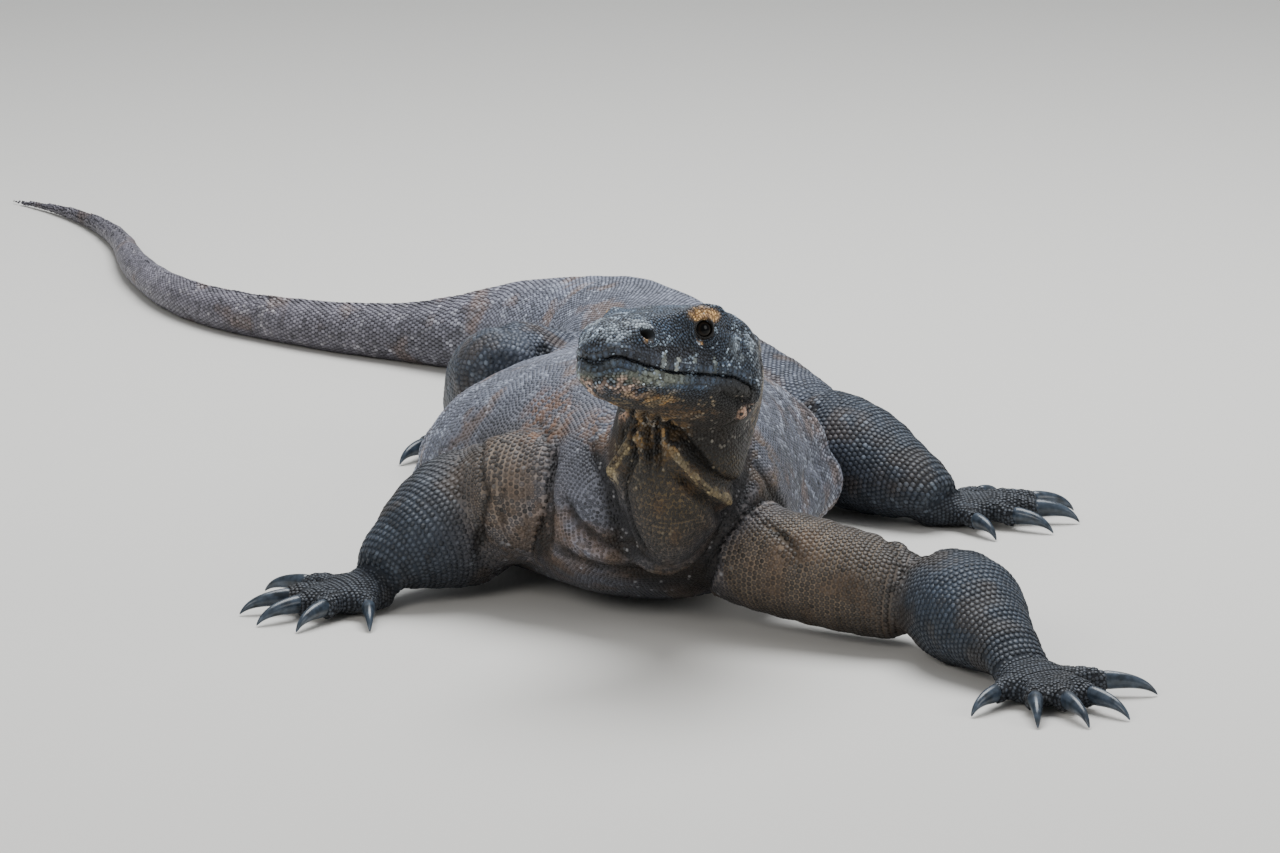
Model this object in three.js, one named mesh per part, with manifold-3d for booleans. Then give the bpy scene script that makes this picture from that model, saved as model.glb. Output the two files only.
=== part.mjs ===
// Komodo dragon (Varanus komodoensis): a life-size still model of an adult that lies on its belly
// with its head raised.
// Units are millimetres. +Z is up and the floor is Z = 0. The animal faces -Y, so its left side is +X.
// The origin is on the floor, under the widest part of the trunk.
//
// The body is made of lofts: rings of points round a centre line. Each ring has a half width, a reach
// towards the back ("over") and a reach towards the belly ("under"). Neighbours are parted by thin cuts.
import * as THREE from "three";
import { mergeVertices } from "three/addons/utils/BufferGeometryUtils.js";
import Module from "manifold-3d";

const wasm = await Module();
wasm.setup();

// ---------------------------------------------------------------- driving dimensions

const GAP = 0.3; // between neighbouring solids that meet at a flat
const CUT_GAP = 0.4; // where a solid is cut to the shape of its neighbour

const TRUNK = {
  sides: 24,
  steps: 14,
  roundness: 2.1,
  // x and y of the centre line, height of the widest level, half width, over, under
  rings: [
    [28, -176, 86, 28, 22, 22],
    [28, -164, 86, 60, 46, 42],
    [28, -136, 80, 88, 76, 56],
    [26, -95, 70, 106, 104, 62],
    [22, -50, 62, 118, 118, 60],
    [14, 10, 54, 138, 127, 58],
    [2, 80, 48, 167, 120, 53],
    [3, 150, 48, 162, 104, 53],
    [8, 220, 50, 142, 90, 55],
    [18, 300, 52, 116, 80, 57],
    [28, 390, 56, 94, 72, 60],
    [28, 460, 58, 82, 63, 61],
    [16, 530, 57, 76, 63, 59],
    [-4, 590, 56, 68, 61, 58],
  ],
};

const TAIL = {
  sides: 12,
  lengths: [190, 210, 230, 250, 270], // the tail is parted into these
  stepsPerLength: [6, 6, 5, 5, 5],
  start: [-4, 588],
  rooted: 24, // how far its first ring lies inside the trunk
  // heading of the centre line at a distance along the tail, in degrees from +Y towards -X
  headings: [
    [0, 28],
    [130, 38],
    [200, 60],
    [300, 58],
    [430, 50],
    [620, 20],
    [820, 8],
    [1000, 26],
    [1150, 46],
  ],
  // half width and height at a distance along the tail
  girths: [
    [0, 68, 119],
    [60, 58, 108],
    [150, 45, 89],
    [205, 36, 72],
    [240, 31, 62],
    [290, 26, 52],
    [350, 23, 46],
    [500, 19.5, 40],
    [700, 15, 32],
    [900, 10.5, 23],
    [1060, 6, 13.5],
    [1135, 3.2, 7],
    [1150, 1, 2.4],
  ],
};

const NECK = {
  sides: 12,
  steps: 7,
  // x, y, z of the centre line, half width, over, under, and how far the ring is turned with the head
  rings: [
    [26, -75, 104, 78, 60, 72, 0],
    [33, -122, 124, 52, 56, 92, 2],
    [42, -150, 150, 54, 50, 80, 8],
    [50, -170, 180, 55, 42, 66, 14],
    [57, -183, 208, 49, 36, 58, 22],
    [62, -190, 232, 43, 30, 46, 28],
  ],
};

// The head has a frame of its own: the origin is midway between the eyes, F points along the snout,
// S to the animal's left and U upwards.
const HEAD = {
  at: [27, -240, 249],
  turn: 32, // degrees to the animal's right
  pitch: 13.4, // degrees upwards
  roll: 8, // degrees, the animal's left side up
  sides: 20,
  steps: 15,
  roundness: 2.35,
  // F, half width, top, bottom, height of the widest level, how square the crown is
  rings: [
    [-96, 29, -2, -56, -28, 2.4],
    [-86, 38, 7, -68, -32, 2.6],
    [-64, 48, 14, -74, -34, 3],
    [-42, 55, 18, -72, -36, 3.4],
    [-18, 53, 19, -68, -36, 3.5],
    [4, 47, 18, -63, -35, 3.5],
    [26, 41, 14.5, -60, -34, 3.2],
    [46, 36, 11, -57, -33, 2.8],
    [62, 31.5, 8, -55, -31, 2.4],
    [76, 25.5, 3, -52, -28, 2.3],
    [86, 18, -3, -46, -26, 2.2],
    [91.5, 10, -10, -38, -25, 2],
    [93, 4, -18, -30, -25, 2],
  ],
  // the line of the mouth, from its corner to the front of the snout: F and height
  mouth: [
    [-42, -43],
    [-18, -35],
    [12, -34],
    [45, -34],
    [70, -29.5],
    [86, -24],
    [91, -25],
    [93, -29],
    [120, -30],
  ],
  mouthGap: 0.5,
};

const EYE = { radius: 11, f: 3, s: 33, u: -1, sides: 8 };
const ORBIT = { radius: 14, f: 14, s: 52, u: -3, sides: 10 }; // the hollow that the eye looks out of
const NOSTRIL = { depth: 14, radius: 3.6, long: 1.3, slant: [3, 4], f: 64, s: 27, u: -8, sides: 8 };
const BROW = { f: 2, s: 36.5, u: 10, reach: [30, 8, 8], sides: 8 }; // a ridge over each eye

// A claw's root and its rise above the floor are shares of its digit's radius.
const CLAW = {
  sides: 6,
  steps: 3,
  tipRadius: 0.9,
  lift: 0.6,
  root: 0.58,
  rise: 1.2,
  bend: 1.2,
  tall: 1.25,
};

// Rows of a digit: share of its length, height and radius, both as shares of the digit's radius.
const DIGIT = {
  sides: 6,
  tall: 1.04,
  rows: [
    [0.35, 1.45, 0.97],
    [0.8, 1.12, 1],
    [1, 1.15, 0.66],
  ],
};

// The flat of a hand or foot: shares of its length, half width and height from heel to knuckles.
// Its widest level, the reach above it and the reach below it are shares of its height.
const PALM = {
  sides: 10,
  roundness: 2.4,
  level: 0.42,
  over: 0.58,
  under: 0.46,
  knuckles: [0.8, 0.55],
  rows: [
    [-0.6, 0.6, 0.75],
    [-0.3, 0.85, 1],
    [0.2, 0.97, 1],
    [0.7, 0.98, 0.84],
    [1, 0.74, 0.62],
  ],
};
const LIMB = { sides: 12, upperSteps: 6, lowerSteps: 7 };

// Digits are listed from the inner to the outer: direction in degrees from the direction of the hand,
// length from the knuckle to the claw, radius, and length of the claw.
const HAND_DIGITS = [
  { spread: 66, reach: 24, radius: 9.5, claw: 34 },
  { spread: 30, reach: 34, radius: 10, claw: 40 },
  { spread: 9, reach: 38, radius: 10, claw: 42 },
  { spread: -12, reach: 40, radius: 10, claw: 42 },
  { spread: -58, reach: 38, radius: 10, claw: 42 },
];
const FOOT_DIGITS = [
  { spread: 66, reach: 26, radius: 9.5, claw: 30 },
  { spread: 36, reach: 38, radius: 10, claw: 36 },
  { spread: 12, reach: 48, radius: 10.5, claw: 38 },
  { spread: -10, reach: 56, radius: 10.5, claw: 38 },
  { spread: -46, reach: 46, radius: 9.5, claw: 32 },
];

// Limbs: rings are x, y, z of the centre line, half width (level) and half height.
const LIMBS = [
  {
    side: "right",
    names: ["upper_arm", "forearm", "hand"],
    upper: [
      [-40, -98, 92, 42, 50],
      [-70, -78, 86, 43, 52],
      [-94, -48, 74, 42, 50],
      [-110, -14, 64, 38, 44],
      [-116, 4, 60, 22, 26],
    ],
    lower: [
      [-102, 20, 57, 20, 22],
      [-106, 2, 58, 42, 46],
      [-124, -36, 57, 50, 54],
      [-150, -60, 48, 45, 44],
      [-174, -76, 36, 32, 30],
      [-186, -86, 26, 26, 20],
    ],
    palm: { at: [-196, -88], half: 29, length: 30, height: 29, heading: 208 },
    digits: HAND_DIGITS,
  },
  {
    side: "left",
    names: ["upper_arm", "forearm", "hand"],
    upper: [
      [72, -120, 62, 40, 42],
      [112, -150, 53, 41, 41],
      [158, -177, 47, 40, 40],
      [200, -196, 42, 37, 37],
      [220, -202, 40, 24, 26],
    ],
    lower: [
      [236, -190, 38, 18, 20],
      [236, -208, 40, 38, 38],
      [252, -250, 40, 44, 42],
      [268, -290, 32, 33, 29],
      [280, -316, 25, 26, 20],
      [286, -330, 19, 24, 15],
    ],
    palm: { at: [292, -340], half: 29, length: 30, height: 28, heading: 300 },
    digits: HAND_DIGITS,
  },
  {
    side: "right",
    names: ["thigh", "shank", "foot"],
    upper: [
      [-2, 480, 66, 40, 40],
      [-36, 446, 64, 38, 38],
      [-68, 408, 72, 40, 40],
      [-92, 374, 82, 42, 43],
      [-102, 348, 82, 24, 26],
    ],
    lower: [
      [-98, 336, 82, 20, 22],
      [-100, 354, 83, 38, 42],
      [-110, 398, 66, 40, 42],
      [-120, 440, 46, 33, 32],
      [-128, 472, 30, 27, 22],
      [-131, 486, 23, 20, 15],
    ],
    palm: { at: [-126, 452], half: 27, length: 50, height: 26, heading: 278 },
    digits: FOOT_DIGITS,
  },
  {
    side: "left",
    names: ["thigh", "shank", "foot"],
    upper: [
      [64, 452, 74, 42, 44],
      [88, 392, 68, 43, 45],
      [110, 336, 61, 47, 48],
      [132, 290, 55, 46, 47],
      [150, 262, 54, 40, 42],
      [160, 246, 52, 24, 26],
    ],
    lower: [
      [144, 268, 50, 20, 22],
      [156, 252, 50, 40, 44],
      [184, 224, 46, 44, 46],
      [214, 196, 37, 37, 37],
      [238, 174, 30, 29, 26],
      [250, 164, 23, 23, 16],
    ],
    palm: { at: [254, 182], half: 28, length: 36, height: 27, heading: 8 },
    digits: FOOT_DIGITS,
  },
];

const COLOURS = {
  hide: 0x4a4744,
  throat: 0x4b4033,
  claw: 0x2c343a,
  eye: 0x2a1708,
};

// ---------------------------------------------------------------- solids and lofts

/** A closed geometry as a manifold solid. */
function solidOf(geometry) {
  const bare = geometry.index ? geometry.toNonIndexed() : geometry.clone();
  bare.deleteAttribute("normal");
  bare.deleteAttribute("uv");
  const merged = mergeVertices(bare, 1e-3);
  return new wasm.Manifold(
    new wasm.Mesh({
      numProp: 3,
      vertProperties: merged.attributes.position.array,
      triVerts: new Uint32Array(merged.index.array),
    }),
  );
}

/** A manifold solid as a geometry. */
function geometryOf(solid) {
  const mesh = solid.getMesh();
  const geometry = new THREE.BufferGeometry();
  geometry.setAttribute("position", new THREE.BufferAttribute(mesh.vertProperties, 3));
  geometry.setIndex(new THREE.BufferAttribute(mesh.triVerts, 1));
  geometry.computeVertexNormals();
  return geometry;
}

/** The largest piece of a solid, without the slivers that a cut can leave. */
function largest(solid) {
  return solid.decompose().reduce((a, b) => (b.volume() > a.volume() ? b : a));
}

/** A row of values at a share t of the way along a table, by a smooth curve through its rows. */
function between(rows, t) {
  const last = rows.length - 1;
  const place = Math.min(Math.max(t, 0), 1) * last;
  const i = Math.min(Math.floor(place), last - 1);
  const row = (k) => rows[Math.min(Math.max(k, 0), last)];
  const [p, q, r, s] = [row(i - 1), row(i), row(i + 1), row(i + 2)];
  const u = place - i;
  return q.map((v, k) => {
    const slope = r[k] - p[k];
    const bend = 2 * p[k] - 5 * v + 4 * r[k] - s[k];
    const twist = 3 * (v - r[k]) + s[k] - p[k];
    return v + 0.5 * u * (slope + u * (bend + u * twist));
  });
}

/** Values from a table whose first column is a distance, at that distance. */
function along(table, distance) {
  const i = table.findIndex((row) => row[0] >= distance);
  if (i <= 0) return (i ? table[table.length - 1] : table[0]).slice(1);
  const [low, high] = [table[i - 1], table[i]];
  const u = (distance - low[0]) / (high[0] - low[0]);
  return low.slice(1).map((v, k) => v + (high[k + 1] - v) * u);
}

const UP = new THREE.Vector3(0, 0, 1);

/** A point of a ring at an angle, 0 at its side and a quarter turn at its back. */
function pointOf(ring, angle) {
  const { centre, side, back, half, over, under, roundness = 2, crown = roundness } = ring;
  const power = 2 / (Math.sin(angle) > 0 ? crown : roundness);
  const bend = (v) => Math.sign(v) * Math.abs(v) ** power;
  const [c, s] = [bend(Math.cos(angle)), bend(Math.sin(angle))];
  return centre
    .clone()
    .addScaledVector(side, c * half)
    .addScaledVector(back, s * (s > 0 ? over : under));
}

/** Rings made larger all round, the end ones also moved outwards. */
function grown(rings, by) {
  const last = rings.length - 1;
  return rings.map((ring, i) => {
    const inner = rings[i === 0 ? 1 : last - 1].centre;
    const out = ring.centre.clone().sub(inner).setLength(i === 0 || i === last ? by : 0);
    const [half, over, under] = [ring.half + by, ring.over + by, ring.under + by];
    return { ...ring, centre: ring.centre.clone().add(out), half, over, under };
  });
}

/** A closed solid through rings, with flat ends. */
function loft(given, sides, grow = 0) {
  const rings = grow ? grown(given, grow) : given;
  const points = [];
  const faces = [];
  for (const ring of rings)
    for (let k = 0; k < sides; k++) points.push(pointOf(ring, (2 * Math.PI * k) / sides));
  for (let j = 0; j + 1 < rings.length; j++)
    for (let k = 0; k < sides; k++) {
      const [a, b] = [j * sides + k, j * sides + ((k + 1) % sides)];
      faces.push(a, b, b + sides, a, b + sides, a + sides);
    }
  [rings[0], rings[rings.length - 1]].forEach(({ centre }, end) => {
    const hub = points.push(centre) - 1;
    const first = end * (rings.length - 1) * sides;
    for (let k = 0; k < sides; k++) {
      const [a, b] = [first + k, first + ((k + 1) % sides)];
      faces.push(...(end ? [hub, a, b] : [hub, b, a]));
    }
  });
  const geometry = new THREE.BufferGeometry().setFromPoints(points);
  geometry.setIndex(faces);
  const solid = solidOf(geometry);
  if (solid.volume() > 0) return solid;
  geometry.setIndex(faces.reverse());
  return solidOf(geometry);
}

/** The floor and all that is below it, which a solid is cut back to. */
const UNDERGROUND = solidOf(new THREE.BoxGeometry(5000, 5000, 400).translate(0, 0, -200));
const aboveFloor = (solid) => solid.subtract(UNDERGROUND);

/** Rings along a smooth curve through rows of x, y, z, half width, over, under and turn. */
function ringsAlong(rows, steps) {
  const places = Array.from({ length: steps + 1 }, (_, i) => between(rows, i / steps));
  return places.map((row, i) => {
    const [x, y, z, half, over, under = over, turn] = row;
    const ahead = new THREE.Vector3(...places[Math.min(i + 1, steps)]);
    const tangent = ahead.sub(new THREE.Vector3(...places[Math.max(i - 1, 0)])).normalize();
    const angle = THREE.MathUtils.degToRad(turn ?? 0);
    const side =
      turn === undefined
        ? new THREE.Vector3(-tangent.y, tangent.x, 0).normalize()
        : new THREE.Vector3(Math.cos(angle), -Math.sin(angle), 0);
    const back = tangent.clone().cross(side).normalize();
    if (back.z < 0) back.negate();
    return { centre: new THREE.Vector3(x, y, z), side, back, half, over, under };
  });
}

// ---------------------------------------------------------------- trunk and tail

/** Rings of the trunk, upright, square to its centre line. */
function trunkRings() {
  const { rings, steps, roundness } = TRUNK;
  return ringsAlong(rings, steps).map((ring) => ({ ...ring, back: UP, roundness }));
}

/** Centre line of the tail in steps of 5 mm. */
const tailLine = (() => {
  const line = [];
  const step = 5;
  const total = TAIL.lengths.reduce((a, b) => a + b);
  let [x, y] = TAIL.start;
  for (let s = 0; s <= total; s += step) {
    const angle = THREE.MathUtils.degToRad(along(TAIL.headings, s)[0]);
    line.push({ x, y, angle });
    x -= Math.sin(angle) * step;
    y += Math.cos(angle) * step;
  }
  return line;
})();

/** Rings of the tail between two distances along it, resting on the floor. */
function tailRings(from, to, steps) {
  return Array.from({ length: steps + 1 }, (_, i) => {
    const s = from + ((to - from) * i) / steps;
    const { x, y, angle } = tailLine[Math.min(Math.round(s / 5), tailLine.length - 1)];
    const [half, height] = along(TAIL.girths, s);
    const under = height * 0.49;
    const centre = new THREE.Vector3(x, y, under - Math.min(2, under * 0.1));
    const side = new THREE.Vector3(Math.cos(angle), Math.sin(angle), 0);
    return { centre, side, back: UP, half, over: height - under, under };
  });
}

/** The lengths of the tail. The first starts inside the trunk and is cut to its shape. */
function tailSolids(trunk) {
  let from = 0;
  return TAIL.lengths.map((length, i) => {
    const rings = tailRings(from, from + length, TAIL.stepsPerLength[i]);
    const { side, centre } = rings[0];
    centre.addScaledVector(new THREE.Vector3(-side.y, side.x, 0), i ? GAP : -TAIL.rooted);
    from += length;
    return [`tail_${i + 1}`, largest(aboveFloor(loft(rings, TAIL.sides).subtract(trunk)))];
  });
}

// ---------------------------------------------------------------- head and neck

/** The directions of the head's frame. */
const headFrame = (() => {
  const [turn, pitch, roll] = [HEAD.turn, HEAD.pitch, HEAD.roll].map(THREE.MathUtils.degToRad);
  const level = new THREE.Vector3(Math.cos(turn), -Math.sin(turn), 0);
  const ahead = new THREE.Vector3(-Math.sin(turn), -Math.cos(turn), 0);
  const f = ahead.multiplyScalar(Math.cos(pitch)).addScaledVector(UP, Math.sin(pitch));
  const upright = f.clone().cross(level).normalize();
  if (upright.z < 0) upright.negate();
  const s = level.clone().multiplyScalar(Math.cos(roll)).addScaledVector(upright, Math.sin(roll));
  const u = upright.clone().multiplyScalar(Math.cos(roll)).addScaledVector(level, -Math.sin(roll));
  return { f, s, u, at: new THREE.Vector3(...HEAD.at) };
})();

/** A point of the head's own frame, in the frame of the part. */
function onHead(f, s, u) {
  return headFrame.at
    .clone()
    .addScaledVector(headFrame.f, f)
    .addScaledVector(headFrame.s, s)
    .addScaledVector(headFrame.u, u);
}

/** The whole head with its jaws closed. */
function headForm(grow = 0) {
  const rings = Array.from({ length: HEAD.steps + 1 }, (_, i) => {
    const [f, half, top, bottom, level, crown] = between(HEAD.rings, i / HEAD.steps);
    const [over, under] = [top - level, level - bottom];
    const { s: side, u: back } = headFrame;
    const { roundness } = HEAD;
    return { centre: onHead(f, 0, level), side, back, half, over, under, roundness, crown };
  });
  return loft(rings, HEAD.sides, grow);
}

/** The space below the line of the mouth, right across the head. */
function belowMouth(rise) {
  const [deep, wide] = [-140, 200];
  const line = HEAD.mouth.map(([f, u]) => new THREE.Vector2(f, u + rise));
  line[0].x -= rise;
  const ends = [new THREE.Vector2(120, deep), new THREE.Vector2(line[0].x - 14, deep)];
  const slab = new THREE.ExtrudeGeometry(new THREE.Shape([...ends, ...line]), {
    depth: wide,
    bevelEnabled: false,
  });
  slab.translate(0, 0, -wide / 2);
  const across = headFrame.f.clone().cross(headFrame.u);
  slab.applyMatrix4(new THREE.Matrix4().makeBasis(headFrame.f, headFrame.u, across));
  return solidOf(slab.translate(...headFrame.at));
}

/** A ball as a solid. */
function ball(centre, radius, sides) {
  return solidOf(new THREE.SphereGeometry(radius, sides, Math.round(sides * 0.7)).translate(...centre));
}

const EYES = Object.entries({ left: 1, right: -1 }).map(([side, sign]) => ({
  side,
  centre: onHead(EYE.f, EYE.s * sign, EYE.u),
  orbit: onHead(ORBIT.f, ORBIT.s * sign, ORBIT.u),
}));

/** A nostril: a short blind pit into the side of the snout. */
function nostril(sign) {
  const { depth, radius, long, slant, f, s, u, sides } = NOSTRIL;
  const mouth = onHead(f, (s + depth / 2) * sign, u + slant[1] / 2);
  const inner = onHead(f + slant[0], (s - depth / 2) * sign, u - slant[1] / 2);
  const axis = mouth.clone().sub(inner).normalize();
  const side = axis.clone().cross(headFrame.u).normalize();
  const back = side.clone().cross(axis).normalize();
  const pit = (centre, share) => {
    const reach = radius * share;
    return { centre, side, back, half: reach * long, over: reach, under: reach };
  };
  return loft([pit(inner, 0.6), pit(mouth, 1.1)], sides);
}

/** The ridge over an eye: a long ball that lies along the edge of the crown. */
function brow(sign) {
  const { f, s, u, reach, sides } = BROW;
  const round = new THREE.SphereGeometry(1, sides, Math.round(sides * 0.7)).scale(...reach);
  const turned = new THREE.Matrix4().makeBasis(headFrame.f, headFrame.s, headFrame.u);
  return solidOf(round.applyMatrix4(turned).translate(...onHead(f, s * sign, u)));
}

/** The head and the lower jaw, parted along the mouth, with brows, eye sockets and two nostrils. */
function headSolids() {
  let skull = headForm().subtract(belowMouth(HEAD.mouthGap));
  for (const sign of [1, -1]) skull = skull.add(brow(sign));
  for (const eye of EYES) {
    skull = skull.subtract(ball(eye.centre, EYE.radius + CUT_GAP, EYE.sides));
    skull = skull.subtract(ball(eye.orbit, ORBIT.radius, ORBIT.sides));
  }
  for (const sign of [1, -1]) skull = skull.subtract(nostril(sign));
  return [
    ["head", largest(skull)],
    ["lower_jaw", largest(headForm().intersect(belowMouth(0)))],
    ...EYES.map((eye) => [`eye_${eye.side}`, ball(eye.centre, EYE.radius, EYE.sides)]),
  ];
}

/** The neck and throat, from inside the trunk to inside the head. */
function neckForm(grow = 0) {
  return loft(ringsAlong(NECK.rings, NECK.steps), NECK.sides, grow);
}

// ---------------------------------------------------------------- limbs

/** A direction on the floor, from degrees anticlockwise from +X. */
function onFloor(degrees) {
  const angle = THREE.MathUtils.degToRad(degrees);
  return new THREE.Vector3(Math.cos(angle), Math.sin(angle), 0);
}

/** Upright rings along a line on the floor: each row is a distance, a height and a radius. */
function uprightRings(start, way, rows, tall = 1) {
  const side = new THREE.Vector3(-way.y, way.x, 0);
  return rows.map(([distance, height, radius]) => ({
    centre: start.clone().addScaledVector(way, distance).setZ(height),
    side,
    back: UP,
    half: radius,
    over: radius * tall,
    under: radius * tall,
  }));
}

/** Where each digit of a hand or foot starts and which way it points. */
function digitPlaces({ palm, digits, side }) {
  const ahead = onFloor(palm.heading);
  const across = onFloor(palm.heading + 90);
  const inner = side === "left" ? -1 : 1; // the first digit is on the inner side
  return digits.map((digit, i) => {
    const share = (i - 2) / 2;
    const knuckle = new THREE.Vector3(palm.at[0], palm.at[1], 0)
      .addScaledVector(ahead, palm.length * (PALM.knuckles[0] - PALM.knuckles[1] * share * share))
      .addScaledVector(across, -share * inner * (palm.half - digit.radius));
    return { ...digit, knuckle, way: onFloor(palm.heading + digit.spread * inner) };
  });
}

/** A digit from inside the palm to the root of its claw: an arch over the knuckle. */
function digitForm({ knuckle, way, reach, radius }) {
  const buried = [-radius, radius * 1.1, radius];
  const rows = DIGIT.rows.map(([share, high, wide]) => [reach * share, radius * high, radius * wide]);
  return loft(uprightRings(knuckle, way, [buried, ...rows], DIGIT.tall), DIGIT.sides);
}

/** A claw: a curved, tapering horn that comes down to the floor. */
function clawForm({ knuckle, way, reach, radius, claw }) {
  const rows = Array.from({ length: CLAW.steps + 1 }, (_, i) => {
    const t = i / CLAW.steps;
    const thick = CLAW.tipRadius + (radius * CLAW.root - CLAW.tipRadius) * (1 - t) ** 0.8;
    const low = CLAW.lift + CLAW.tipRadius * 1.25;
    const height = low + (radius * CLAW.rise - low) * (1 - t ** 2.4);
    return [reach + GAP + claw * Math.sin(t * CLAW.bend) * 0.9, height, thick];
  });
  return loft(uprightRings(knuckle, way, rows, CLAW.tall), CLAW.sides);
}

/** The flat of a hand or foot, without its digits. */
function palmForm({ palm }) {
  const { at, half, length, height, heading } = palm;
  const [start, ahead, side] = [new THREE.Vector3(...at, 0), onFloor(heading), onFloor(heading + 90)];
  const rings = PALM.rows.map(([share, wide, high]) => ({
    centre: start.clone().addScaledVector(ahead, length * share).setZ(height * PALM.level),
    side,
    back: UP,
    half: half * wide,
    over: height * PALM.over * high,
    under: height * PALM.under,
    roundness: PALM.roundness,
  }));
  return loft(rings, PALM.sides);
}

/** All the solids of one limb. */
function limbSolids(limb, torso) {
  const [upperName, lowerName, endName] = limb.names.map((name) => `${name}_${limb.side}`);
  const upper = loft(ringsAlong(limb.upper, LIMB.upperSteps), LIMB.sides);
  const lowerRings = ringsAlong(limb.lower, LIMB.lowerSteps);
  const lower = loft(lowerRings, LIMB.sides);
  const lowerGrown = loft(lowerRings, LIMB.sides, CUT_GAP);
  const places = digitPlaces(limb);
  const palm = places.reduce((solid, place) => solid.add(digitForm(place)), palmForm(limb));
  return [
    [upperName, largest(aboveFloor(upper.subtract(torso).subtract(lowerGrown)))],
    [lowerName, largest(aboveFloor(lower.subtract(torso)))],
    [endName, largest(aboveFloor(palm.subtract(lowerGrown)))],
    ...places.map((place, i) => [`claw_${endName}_${i + 1}`, clawForm(place)]),
  ];
}

// ---------------------------------------------------------------- the whole animal

const group = new THREE.Group();

/** Adds one sub-part to the model. */
function addPart(name, solid, colour, roughness = 0.8) {
  const material = new THREE.MeshStandardMaterial({ color: colour, roughness, metalness: 0 });
  const mesh = new THREE.Mesh(geometryOf(solid), material);
  mesh.name = name;
  group.add(mesh);
}

const trunkGrown = loft(trunkRings(), TRUNK.sides, CUT_GAP);
const neck = neckForm().subtract(trunkGrown).subtract(headForm(CUT_GAP));
const tailRoot = loft(tailRings(0, TAIL.lengths[0] + TAIL.lengths[1], 10), TAIL.sides, CUT_GAP);
const torsoGrown = trunkGrown.add(neckForm(CUT_GAP)).add(tailRoot);

addPart("trunk", aboveFloor(loft(trunkRings(), TRUNK.sides)), COLOURS.hide);
addPart("neck", largest(aboveFloor(neck)), COLOURS.throat);
for (const [name, solid] of tailSolids(trunkGrown)) addPart(name, solid, COLOURS.hide);
for (const [name, solid] of headSolids()) {
  const isEye = name.startsWith("eye");
  addPart(name, solid, isEye ? COLOURS.eye : COLOURS.hide, isEye ? 0.2 : 0.8);
}
for (const limb of LIMBS)
  for (const [name, solid] of limbSolids(limb, torsoGrown)) {
    const isClaw = name.startsWith("claw");
    addPart(name, solid, isClaw ? COLOURS.claw : COLOURS.hide, isClaw ? 0.45 : 0.8);
  }

export default group;
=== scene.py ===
"""A Komodo dragon at life size, resting on its belly with its head raised, as a still model.

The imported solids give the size. One hide with sculpted folds lies just inside them, scales are laid
over it in rows, and glazed eyes and horn claws are set into it. Lengths in tables are millimetres.
"""

import logging
import math
from dataclasses import dataclass, field, fields
from enum import Enum
from itertools import product

import bpy
import numpy as np
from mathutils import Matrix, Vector
from mathutils.bvhtree import BVHTree
from mathutils.kdtree import KDTree


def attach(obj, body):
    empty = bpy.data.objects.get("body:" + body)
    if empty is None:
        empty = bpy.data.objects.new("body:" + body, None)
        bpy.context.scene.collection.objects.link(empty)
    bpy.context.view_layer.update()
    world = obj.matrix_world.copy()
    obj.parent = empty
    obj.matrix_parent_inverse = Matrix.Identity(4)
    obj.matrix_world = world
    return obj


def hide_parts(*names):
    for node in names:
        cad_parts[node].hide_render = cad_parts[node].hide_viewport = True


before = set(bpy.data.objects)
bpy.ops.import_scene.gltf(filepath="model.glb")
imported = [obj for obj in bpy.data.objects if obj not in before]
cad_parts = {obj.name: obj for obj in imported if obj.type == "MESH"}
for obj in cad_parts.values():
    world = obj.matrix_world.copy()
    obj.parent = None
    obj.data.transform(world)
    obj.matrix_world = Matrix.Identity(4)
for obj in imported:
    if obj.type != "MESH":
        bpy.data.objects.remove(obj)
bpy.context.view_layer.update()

Array = np.ndarray
LOG = logging.getLogger("komodo_dragon")
MM = 0.001
UP = np.array([0.0, 0.0, 1.0])
SEED = 41
BODY = "root"
TINT = "tint"
BAKE_MAP = "OFBake"
FAR = 1.0  # metres, beyond any place on the animal


class Region(Enum):
    """The regions of the body that have their own scales."""

    HEAD = 0
    NECK = 1
    TRUNK = 2
    TAIL = 3
    UPPER = 4
    LOWER = 5
    HAND = 6


class Slot(Enum):
    """Names for material slots."""

    HIDE = "hide"
    CLAW = "claw"
    EYE = "eye"


# ------------------------ small tools


def unit(v: Array) -> Array:
    """Vectors scaled to a length of one."""
    return v / np.maximum(np.linalg.norm(v, axis=-1, keepdims=True), 1e-12)


def ease(x: Array, low: float, high: float) -> Array:
    """A smooth rise from 0 at low to 1 at high."""
    t = np.clip((x - low) / (high - low), 0, 1)
    return t * t * (3 - 2 * t)


def bell(x: Array, width: float) -> Array:
    """A bell curve of height one, centred on zero."""
    return np.exp(-((x / width) ** 2))


def flatten(v: Array, out: Array) -> Array:
    """Vectors without their share along the normals out."""
    return v - out * np.einsum("ij,ij->i", v, out)[:, None]


def mix(a: Array, b: Array, share: Array) -> Array:
    """Colours or vectors a moved towards b by a share for each row."""
    return a + (b - a) * np.asarray(share)[..., None]


def linear(code: int) -> Array:
    """A colour written as 0xRRGGBB, as linear light."""
    c = np.array([code >> 16 & 255, code >> 8 & 255, code & 255]) / 255
    return np.where(c <= 0.04045, c / 12.92, ((c + 0.055) / 1.055) ** 2.4)


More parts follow.
